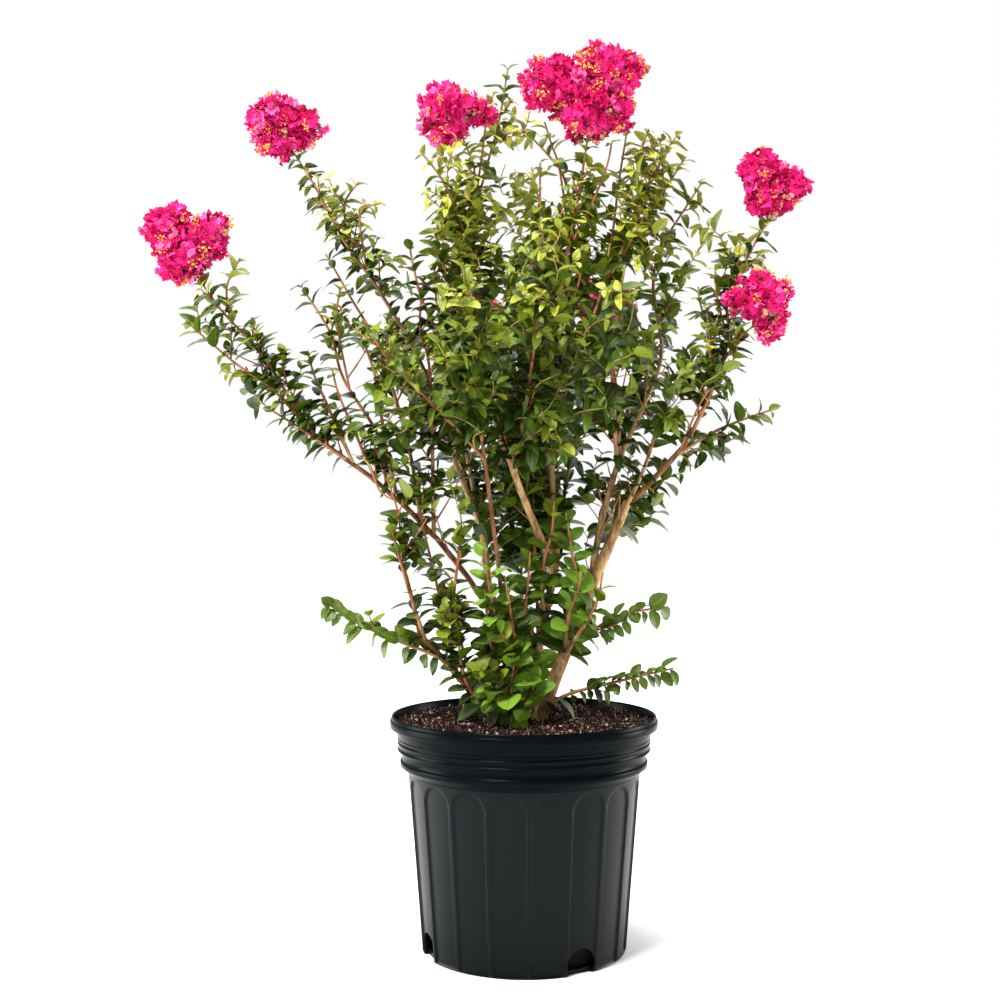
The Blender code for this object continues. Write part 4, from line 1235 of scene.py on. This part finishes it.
def hangingPair(ahead, generator):
    # on a level sprig one leaf of a pair hangs and the other stands up, faces to the side
    side = ahead.cross(upward).normalized()
    if side.y > 0.3:
        side = -side
    for drop in (generator.uniform(0.6, 1.6), generator.uniform(-1.3, -0.2)):
        along = (ahead * 0.7 - upward * drop + side * generator.uniform(-0.5, 0.9)).normalized()
        yield along, side * generator.uniform(0.2, 1.0) + upward * 0.6


def sprigGrowth(place, share):
    # small leaves along a level sprig, and a few full ones at its end
    if place.x > 0:
        return 0.62 if share < 0.86 else 0.84
    return 0.86 if share < 0.80 else 0.56


def standingPair(ahead, generator, opened, turn, outward):
    for half in (0.0, math.pi):
        along = leaning(ahead, opened + generator.uniform(-12, 12), turn + half)
        yield along, ahead + upward * leaf["level"] + outward


def leafShoot(shoot, generator, sprays):
    # pairs of leaves along a shoot, each pair turned a quarter from the last, closer towards the tip
    tint = sprayTint(shoot.at(0.5)[0], generator)
    bare = 0.0
    if shoot.rank == leaderRank:
        bare = shoot.length * max(0.0, 1.0 - leaf["bareFoot"] / max(shoot.length, 0.001)) * 0.8
    distance = max(leaf["first"], bare)
    turn = generator.uniform(0, math.tau)
    while distance < shoot.length:
        share = distance / shoot.length
        place, ahead = shoot.at(share)
        shapes, grown, turned = habitAt(place)
        outward = Vector((place.x - 0.01, place.y - 0.02, 0.0)).normalized() * turned
        near = shoot.length - distance
        young = max(0.0, 1.0 - near / leaf["youngEnd"])
        opened = leaf["openTip"] + (leaf["openFoot"] - leaf["openTip"]) * min(1.0, near / 0.05)
        level = place.z < 0.40 and abs(ahead.z) < 0.6 and abs(place.x) > 0.045
        if level:
            young = 0.0
            shapes = (1, 2, 3, 4) if share < 0.84 else (4, 4, 3)
            grown = sprigGrowth(place, share) if shoot.rank == leaderRank else 0.6
        pair = standingPair(ahead, generator, opened, turn, outward)
        if level:
            pair = hangingPair(ahead, generator)
        for along, face in pair:
            if generator.random() < leaf["lost"]:
                continue
            face = face + Vector([generator.gauss(0, 0.17) for _ in range(3)])
            face = (face - along * face.dot(along)).normalized()
            length = leaf["long"] * grown * (1.0 - 0.52 * young) * generator.uniform(0.78, 1.12)
            shade = leafTint(tint, place, share, near, young, level, generator)
            size = (length * generator.uniform(0.88, 1.12), length, length)
            root = place + (along - ahead * along.dot(ahead)).normalized() * shoot.radius(share) * 0.7
            sprays.append((root, along, face, size, generator.choice(shapes), shade, shoot.mass))
        turn += math.pi / 2 + generator.gauss(0, 0.30)
        distance += leaf["every"] * grown * generator.uniform(0.80, 1.22) * (1.0 - 0.35 * young)


regions = {                  # pieces of leaves and the foliage nodes that each stands for
    "leavesLeft": ("left_arm_tip", "left_arm", "left_spire", "left_inner"),
    "leavesTop": ("upper_left", "top_left", "top_middle", "back_top"),
    "leavesRight": ("right_arm", "right_side", "right_low", "right_spire", "top_right"),
    "leavesMiddle": ("centre_left", "centre_front", "centre_right", "centre_back"),
    "leavesFront": ("front_left", "front_middle", "front_right", "front_far_left"),
    "leavesBack": ("back_left", "back_right", "back_low", "back_middle", "back_far_left", "back_far_right"),
    "leavesLow": ("low_left", "low_middle", "low_right", "foot", "foot_left", "foot_right",
                  "sprig_left", "sprig_right", "sprig_low"),
}
regionOf = {"foliage_" + word: name for name, words in regions.items() for word in words}


def insideLimits(point, spare):
    # inside the CAD box grown by a spare distance on each side
    low, high = cadBox
    return all(low[i] - spare < point[i] < high[i] + spare for i in range(3))


def openLimbs(crown):
    # stretches of limb that stay in sight behind few leaves
    known = dict(crown.limbShoots)
    known.update({shoot.name: shoot for shoot in crown.shoots if shoot.rank == leaderRank})
    rows = []
    for name, first, last in leaf["openLimbs"]:
        for i in range(25):
            point = known[name].at(first + (last - first) * i / 24)[0]
            rows.append((*seenFrom(point), point.y))
    return np.array(rows)


def hidesLimb(point, rows):
    across, height = seenFrom(point)
    near = np.hypot(rows[:, 0] - across, rows[:, 1] - height) < leaf["openHalf"]
    return bool(np.any(near & (rows[:, 2] > point.y)))


def makeLeaves(crown):
    generator = random.Random(leaf["seed"])
    limbRows = openLimbs(crown)
    sprays = []
    for shoot in crown.shoots:
        if shoot.mass is None:
            shoot.mass = crown.nearestMass(shoot.at(0.8)[0])
        leafShoot(shoot, generator, sprays)
    scatters = {name: Scatter() for name in regions}
    kept = 0
    for root, along, face, size, shape, tint, mass in sprays:
        if not insideLimits(root + along * size[1], leaf["past"]):
            continue
        if root.z < leaf["overRim"] and math.hypot(root.x, root.y) > leaf["nearRim"]:
            continue
        if hidesLimb(root + along * size[1] * 0.5, limbRows) and generator.random() < leaf["openShare"]:
            continue
        if any(beforeSky(root + along * size[1] * share) for share in (0.25, 0.6, 0.9)):
            continue
        scatters[regionOf[mass]].add(root, along, face, size, shape, tint)
        kept += 1
    print(f"{kept} leaves on {len(crown.shoots)} shoots")
    tree, shapes = makeLeafTree(), makeLeafShapes()
    for name, scatter in scatters.items():
        piece = scatter.piece(name, tree, {"Shapes": shapes, "Size": 1.0})
        handOver(piece, "leaves", *["foliage_" + word for word in regions[name]])


# Twigs
twig = {
    "sides": 6, "woodyFrom": 0.0019, "greenFrom": 0.93,
    "woody": ((0.520, 0.310, 0.130), (0.170, 0.078, 0.034)),
    "reddish": ((0.440, 0.150, 0.046), (0.180, 0.050, 0.016)),
    "green": ((0.340, 0.250, 0.050), (0.210, 0.100, 0.028)),
}


def makeTwigTree():
    look = {"patch": 90.0, "grain": 700.0, "share": 0.4, "contrast": 1.8, "stretch": 0.4,
            "rough": (0.55, 0.75), "bump": 0.25, "relief": 0.0005}
    kinds = ("woody", "reddish", "green")
    skins = [mottledMaterial("twig" + key.capitalize(), *twig[key], look) for key in kinds]
    tree, ask, out = newGroup("twigTubes", "GeometryNodeTree", {
        "Geometry": "Geometry", "Sides": 6}, {"Geometry": "Geometry"})
    flow = tubeAlong(tree, ask["Geometry"], ask["Sides"])
    tree.links.new(paintBy(tree, flow, "skin", enumerate(skins)), out[0])
    return tree


class Lines:
    # many thin tubes kept as edges with a thickness, for one piece
    def __init__(self):
        self.points, self.edges, self.thick, self.skin = [], [], [], []

    def add(self, points, radii, skin):
        first = len(self.points)
        self.points += points
        self.edges += [(first + i, first + i + 1) for i in range(len(points) - 1)]
        self.thick += radii
        self.skin += [skin] * len(points)

    def piece(self, name, tree, sides):
        mesh = newMesh(name, self.points, self.edges, [])
        setValues(mesh, "thick", "FLOAT", "POINT", self.thick)
        setValues(mesh, "skin", "INT", "POINT", self.skin)
        piece = addPiece(name, mesh)
        useTree(piece, tree, {"Sides": sides})
        makePlain(piece)
        piece.data.shade_smooth()
        return piece


def twigSkin(shoot, share):
    # the number of the twig's skin: woody, reddish or green
    if shoot.rank == leaderRank:
        if shoot.radius(share) > twig["woodyFrom"]:
            return 0
        return 1 if share < twig["greenFrom"] else 2
    return 1 if shoot.rank == sideRank else 2


def makeTwigs(crown, tree):
    lines = Lines()
    for shoot in crown.shoots:
        radii = [shoot.radius(along / shoot.length) for along in shoot.along]
        cut = 0
        for i in range(1, len(shoot.points)):
            here = twigSkin(shoot, shoot.along[i] / shoot.length)
            last = i == len(shoot.points) - 1
            if last or twigSkin(shoot, shoot.along[i + 1] / shoot.length) != here:
                lines.add(shoot.points[cut:i + 1], radii[cut:i + 1], here)
                cut = i
    handOver(lines.piece("twigs", tree, twig["sides"]), "bark")


# Flower heads: the same centres, half sizes and lobes as the solids
heads = {                    # centre, half sizes, leader that carries it, lobes: across, height, radius
    "blossom_far_left": ((-0.344, -0.035, 0.728), (0.047, 0.040, 0.045), "armTip", (
        (-0.46, 0.44, 0.58), (0.50, 0.18, 0.54), (-0.12, -0.42, 0.62), (0.00, 0.00, 0.54))),
    "blossom_left": ((-0.252, 0.030, 0.861), (0.042, 0.036, 0.038), "leftSpire", (
        (-0.30, 0.26, 0.80), (0.66, 0.14, 0.38), (-0.26, -0.54, 0.47), (0.22, -0.10, 0.58))),
    "blossom_top_left": ((-0.070, 0.020, 0.872), (0.043, 0.036, 0.038), "upperLeft", (
        (-0.28, 0.20, 0.80), (0.66, 0.05, 0.36), (-0.32, -0.42, 0.54), (-0.40, -0.68, 0.34))),
    "blossom_top": ((0.062, -0.020, 0.886), (0.067, 0.052, 0.056), "topMiddle", (
        (-0.50, 0.14, 0.54), (0.43, 0.41, 0.60), (0.18, -0.42, 0.62), (-0.02, 0.02, 0.52))),
    "blossom_right": ((0.259, 0.000, 0.795), (0.040, 0.036, 0.041), "rightArm", (
        (-0.30, 0.40, 0.62), (0.45, -0.05, 0.55), (-0.25, -0.40, 0.60))),
    "blossom_low_right": ((0.237, -0.044, 0.661), (0.036, 0.036, 0.039), "lowRightHead", (
        (0.20, 0.28, 0.78), (-0.58, 0.14, 0.43), (0.32, -0.36, 0.56), (0.38, -0.66, 0.37))),
    "blossom_back_left": ((-0.055, 0.252, 0.690), (0.042, 0.038, 0.040), "backLeft", (
        (-0.20, 0.20, 0.80), (0.45, 0.00, 0.55), (0.00, -0.45, 0.55))),
    "blossom_back_right": ((0.098, 0.244, 0.700), (0.042, 0.038, 0.042), "backRight", (
        (-0.35, 0.25, 0.62), (0.40, 0.20, 0.60), (0.00, -0.45, 0.55))),
}
bloom = {
    "seed": 31, "apart": 0.0083, "inset": 0.0045, "deep": 0.016, "tries": 5200, "blend": 7.0, "uneven": 0.17,
    "petals": 5, "petalLong": 0.0088, "petalShapes": 6, "neck": 0.003,
    "petalRows": (0.0, 0.24, 0.38, 0.56, 0.76, 0.92, 1.02),
    "petalWidths": (0.04, 0.05, 0.34, 0.54, 0.62, 0.58, 0.42), "petalColumns": 5,
    "tuftShare": 0.22, "tuftLong": 0.0088, "tuftShapes": 4,
    "filaments": 11, "filamentHalf": 0.035, "anther": 0.16,
    "budShare": 0.07, "budSize": 0.0024, "budShapes": 3, "budsTogether": 5, "budOut": 0.004,
    "lowFrom": -0.25,            # flowers that face down more than this hang from the middle of the spine
    "spineFoot": 0.0011, "spineTaper": 0.0005, "stalk": 0.0006,
}
# tints dealt to the flowers at random; the deepest stands in for the magenta of petals in shade, a painted
# shade
petalTints = {
    "petalDeep": (0.480, 0.003, 0.084),
    "petalHot": (0.660, 0.006, 0.136),
    "petalBright": (0.770, 0.018, 0.215),
    "petalPale": (0.850, 0.095, 0.320),
}
softTints = {                # light and dark
    "filamentPink": ((0.75, 0.12, 0.25), (0.60, 0.05, 0.14)),
    "antherGold": ((0.88, 0.40, 0.07), (0.70, 0.20, 0.04)),
    "budRed": ((0.50, 0.055, 0.090), (0.28, 0.030, 0.040)),
    "budGreen": ((0.52, 0.30, 0.15), (0.38, 0.14, 0.07)),
}


def lobeReach(way, lobes):
    # how far the lobes go from the head's middle, in shares of its half size, softly joined and uneven
    total = 0.0
    for across, height, radius in lobes:
        middle = Vector((across, 0.0, height))
        along = way.dot(middle)
        inner = along * along - middle.length_squared + radius * radius
        if inner > 0:
            total += max(0.0, along + math.sqrt(inner)) ** bloom["blend"]
    uneven = math.sin(8.1 * way.x + 5.0 * way.z + 9 * lobes[0][0]) * math.sin(9.3 * way.z - 6.0 * way.y)
    return min(1.0, total ** (1 / bloom["blend"])) * (1.0 + bloom["uneven"] * (uneven - 0.45))


def makePetalShapes():
    # a petal of length 1: a narrow claw, then a round crinkled blade
    chooser = random.Random(bloom["seed"])
    columns = bloom["petalColumns"]
    meshes = []
    for number in range(bloom["petalShapes"]):
        points, places = [], []
        phase, folds = chooser.uniform(0, math.tau), chooser.uniform(2.0, 3.2)
        for share, wide in zip(bloom["petalRows"], bloom["petalWidths"]):
            blade = max(0.0, (share - 0.3) / 0.7)
            for column in range(columns):
                across = column / 2 - 1
                ruffle = math.sin(across * folds * 1.7 + phase + share * 5.0) * 0.20 * blade
                ruffle += chooser.uniform(-0.13, 0.13) * blade
                trim = 1.0 + chooser.uniform(-0.04, 0.04) * blade
                rise = 0.22 * share + 0.30 * blade * blade * across * across + ruffle
                points.append((across * wide * trim, share * trim - 0.13 * blade * across * across, rise))
                places.append((0.5 + across / 2, min(1.0, share)))
        mesh = newMesh(f"petal{number}", points, [], gridFaces(len(bloom["petalRows"]), columns, False))
        mapBlade(mesh, places)
        mesh.shade_smooth()
        meshes.append(mesh)
    return shapeSet("petalShapes", meshes)


def tuftShape(number, chooser):
    # short filaments with an anther each, round a pistil
    points, faces, parts = [], [], []
    for i in range(bloom["filaments"]):
        turn = i * 2.4 + chooser.uniform(-0.3, 0.3)
        lean = chooser.uniform(0.15, 0.75)
        tip = Vector((math.cos(turn) * lean, math.sin(turn) * lean, chooser.uniform(0.7, 1.0)))
        side = Vector((-math.sin(turn), math.cos(turn), 0)) * bloom["filamentHalf"]
        first = len(points)
        points += [Vector(side), Vector(-side), tip - side, tip + side]
        faces.append((first, first + 1, first + 2, first + 3))
        parts.append(0)
        first = len(points)
        for dx, dy, dz in ((1, 0, 0), (-1, 0, 0), (0, 1, 0), (0, -1, 0), (0, 0, 1), (0, 0, -1)):
            points.append(tip + Vector((dx, dy, dz)) * bloom["anther"])
        for a, b in ((0, 2), (2, 1), (1, 3), (3, 0)):
            faces.append((first + a, first + b, first + 4))
            faces.append((first + b, first + a, first + 5))
            parts += [1, 1]
    mesh = newMesh(f"tuft{number}", points, [], faces)
    setValues(mesh, "part", "INT", "FACE", parts)
    return mesh


def budShape(number, chooser):
    # a round bud, a little uneven
    work = bmesh.new()
    bmesh.ops.create_uvsphere(work, u_segments=8, v_segments=5, radius=1.0)
    for vert in work.verts:
        vert.co = Vector((vert.co.x, vert.co.z * 1.15 + 0.6, vert.co.y)) * chooser.uniform(0.96, 1.04)
    bmesh.ops.recalc_face_normals(work, faces=work.faces)
    mesh = fromWork(work, bpy.data.meshes.new(f"bud{number}"))
    mesh.shade_smooth()
    return mesh


def makeSmallShapes(name, maker, count):
    chooser = random.Random(bloom["seed"] + 1)
    return shapeSet(name, [maker(number, chooser) for number in range(count)])


def flowerSpots(centre, half, lobes, generator):
    # places on and just under the lobes, kept apart from each other
    spots = []
    for _ in range(bloom["tries"]):
        way = Vector([generator.gauss(0, 1) for _ in range(3)]).normalized()
        reach = lobeReach(way, lobes)
        depth = bloom["inset"] + (generator.random() ** 2) * bloom["deep"]
        place = Vector([way[i] * half[i] * reach for i in range(3)])
        place = place * max(0.2, 1.0 - depth / place.length)
        if all((place - other[0]).length > bloom["apart"] for other in spots):
            inShares = Vector([place[i] / half[i] for i in range(3)])
            nearest = min(lobes, key=lambda lobe: (Vector((lobe[0], 0, lobe[1])) - inShares).length)
            face = (place - Vector((nearest[0] * half[0], 0.0, nearest[1] * half[2]))).normalized()
            face = (face + Vector([generator.gauss(0, 0.22) for _ in range(3)])).normalized()
            spots.append((place, face))
    return [(centre + place, face) for place, face in spots]


def addBuds(foot, face, buds, generator):
    for _ in range(bloom["budsTogether"]):
        out = (face + Vector([generator.gauss(0, 0.55) for _ in range(3)])).normalized()
        size = bloom["budSize"] * generator.uniform(0.75, 1.15)
        buds.add(foot + out * bloom["budOut"], out, out.orthogonal(), (size, size, size),
                 generator.randrange(bloom["budShapes"]), int(generator.random() < 0.5))


def addFlower(foot, face, petals, tufts, generator):
    # petals in a ring, each with its own lean and tint, and now and then a tuft of stamens
    mood = generator.choice((0, 1, 1, 1, 2, 2, 3))
    turn = generator.uniform(0, math.tau)
    side = face.orthogonal().normalized()
    for petal in range(bloom["petals"]):
        out = side.copy()
        out.rotate(Matrix.Rotation(turn + petal * math.tau / bloom["petals"], 3, face))
        tip = generator.uniform(-0.45, 0.60)
        along = (out + face * tip).normalized()
        upper = (face - out * tip).normalized()
        size = bloom["petalLong"] * generator.uniform(0.82, 1.12)
        shade = max(0, min(3, mood + generator.choice((-1, 0, 0, 0, 1))))
        petals.add(foot, along, upper, (size, size, size), generator.randrange(bloom["petalShapes"]), shade)
    if generator.random() < bloom["tuftShare"]:
        size = bloom["tuftLong"] * generator.uniform(0.7, 1.15)
        tufts.add(foot, side, face, (size, size, size), generator.randrange(bloom["tuftShapes"]), 0)


def makeHeadTrees():
    petalLook = {"rough": 0.7, "count": 5.0, "slope": 0.2, "lift": 0.05, "edge": 0.25, "undersidePaleAndShade": 0.05,
                 "bump": 0.5, "constants": {"Specular IOR Level": 0.2}}
    tints = {i: bladeMaterial(name, color, petalLook) for i, (name, color) in enumerate(petalTints.items())}
    soft = {"patch": 220.0, "grain": 900.0, "share": 0.4, "contrast": 1.2, "stretch": 1.0,
            "rough": (0.5, 0.7), "bump": 0.2, "relief": 0.0004}
    filament, anther, redBud, greenBud = [
        mottledMaterial(name, light, dark, soft) for name, (light, dark) in softTints.items()]
    return (makeSprayTree("petalWhorls", tints, {}),
            makeSprayTree("stamenTufts", {0: filament}, {1: anther}),
            makeSprayTree("budClusters", {0: redBud, 1: greenBud}, {}))


def makeHeads(crown, twigTree):
    generator = random.Random(bloom["seed"])
    petalTree, tuftTree, budTree = makeHeadTrees()
    petalShapes = makePetalShapes()
    tuftShapes = makeSmallShapes("tuftShapes", tuftShape, bloom["tuftShapes"])
    budShapes = makeSmallShapes("budShapes", budShape, bloom["budShapes"])
    tufts, buds, stalks = Scatter(), Scatter(), Lines()
    leadersByName = {shoot.name: shoot for shoot in crown.shoots}
    for name, (centre, half, leader, lobes) in heads.items():
        petals = Scatter()
        centre = Vector(centre)
        carrier, ahead = leadersByName[leader].at(1.0)
        spine = smoothPath([carrier, carrier.lerp(centre, 0.5) + ahead * 0.004, centre], 0.005)
        count = len(spine)
        stalks.add(spine, [bloom["spineFoot"] - bloom["spineTaper"] * i / count for i in range(count)], 1)
        for place, face in flowerSpots(centre, half, lobes, generator):
            low = (place - centre).normalized().z < bloom["lowFrom"]
            joint = spine[count // 2 if low else -1]
            middle = joint.lerp(place, 0.55) - face * bloom["neck"]
            foot = place - face * bloom["neck"]
            path = smoothPath([joint, middle, foot], growth["step"])
            stalks.add(path, [bloom["stalk"]] * len(path), 2)
            if generator.random() < bloom["budShare"] * (2.2 if low else 0.8):
                addBuds(foot, face, buds, generator)
            else:
                addFlower(foot, face, petals, tufts, generator)
        piece = petals.piece(name + "_petals", petalTree, {"Shapes": petalShapes, "Size": 1.0})
        handOver(piece, "petals", name)
    handOver(tufts.piece("stamens", tuftTree, {"Shapes": tuftShapes, "Size": 1.0}), "petals")
    handOver(buds.piece("flowerBuds", budTree, {"Shapes": budShapes, "Size": 1.0}), "petals")
    handOver(stalks.piece("flowerStalks", twigTree, 4), "bark")


# Camera, floor and light
def makeCamera():
    data = bpy.data.cameras.new("camera")
    data.sensor_width = view["sensor"]
    data.lens = view["focalPixels"] / view["framePixels"] * view["sensor"]
    camera = addPiece("camera", data)
    camera.location = view["place"]
    camera.rotation_euler = (math.pi / 2, 0, 0)
    bpy.context.scene.camera = camera


def makeStudio():
    half = studio["floorSize"] / 2
    corners = [(-half, -half, 0), (half, -half, 0), (half, half, 0), (-half, half, 0)]
    mesh = newMesh("floor", corners, [], [(0, 1, 2, 3)])
    material, tree, shader = newMaterial("floorPaper", (studio["paper"],) * 3, studio["paperRough"])
    place = addNode(tree, "ShaderNodeTexCoord").outputs["Object"]
    grain = addNode(tree, "ShaderNodeTexNoise", {
        "Vector": place, "Scale": studio["paperGrain"], "Detail": 2.0})
    darker, lighter = studio["paperTones"]
    tone = addNode(tree, "ShaderNodeMapRange", {
        "Value": grain.outputs["Fac"], "To Min": darker, "To Max": lighter})
    tree.links.new(tone.outputs[0], shader.inputs["Base Color"])
    away = addNode(tree, "ShaderNodeVectorMath", {0: place}, operation="LENGTH").outputs["Value"]
    glow = addNode(tree, "ShaderNodeMapRange", {    # the floor glows more away from the pot, from just past its foot, so the lamps' cast shadow fades close to the pot and the far floor runs into the backdrop
        "Value": away, "From Min": studio["glowFrom"], "From Max": studio["glowTo"],
        "To Min": 0.0, "To Max": studio["floorGlow"]}, interpolation_type="SMOOTHSTEP")
    shader.inputs["Emission Color"].default_value = (1, 1, 1, 1)
    tree.links.new(glow.outputs[0], shader.inputs["Emission Strength"])
    mesh.materials.append(material)
    addPiece("floor", mesh)
    world = bpy.data.worlds.new("studio")
    world.use_nodes = True
    bpy.context.scene.world = world
    tree = world.node_tree
    seen = addNode(tree, "ShaderNodeLightPath").outputs["Is Camera Ray"]
    strength = addNode(tree, "ShaderNodeMapRange", {
        "Value": seen, "To Min": studio["sky"], "To Max": studio["backdrop"]})
    tree.links.new(strength.outputs[0], tree.nodes["Background"].inputs["Strength"])
    tree.nodes["Background"].inputs["Color"].default_value = (1, 1, 1, 1)
    for name, (place, aim, size, watts) in studio["lamps"].items():
        data = bpy.data.lights.new(name, "AREA")
        data.shape = "DISK"
        data.size = size
        data.energy = watts
        lamp = addPiece(name, data)
        lamp.location = place
        lamp.rotation_euler = (Vector(aim) - Vector(place)).to_track_quat("-Z", "Y").to_euler()
    bpy.context.scene.view_settings.view_transform = "Standard"
    bpy.context.scene.view_settings.look = "None"


def main():
    makeCamera()
    makeStudio()
    print("pot and mix")
    makePot()
    makeMix()
    print("stems and boughs")
    limbShoots = makeLimbShoots()
    makeLimbs(limbShoots, makeBarkTree())
    print("crown")
    crown = Canopy(limbShoots)
    crown.growLeaders()
    crown.growSides()
    crown.fillMasses()
    twigTree = makeTwigTree()
    makeTwigs(crown, twigTree)
    makeLeaves(crown)
    print("flower heads")
    makeHeads(crown, twigTree)
    bpy.context.view_layer.update()


main()
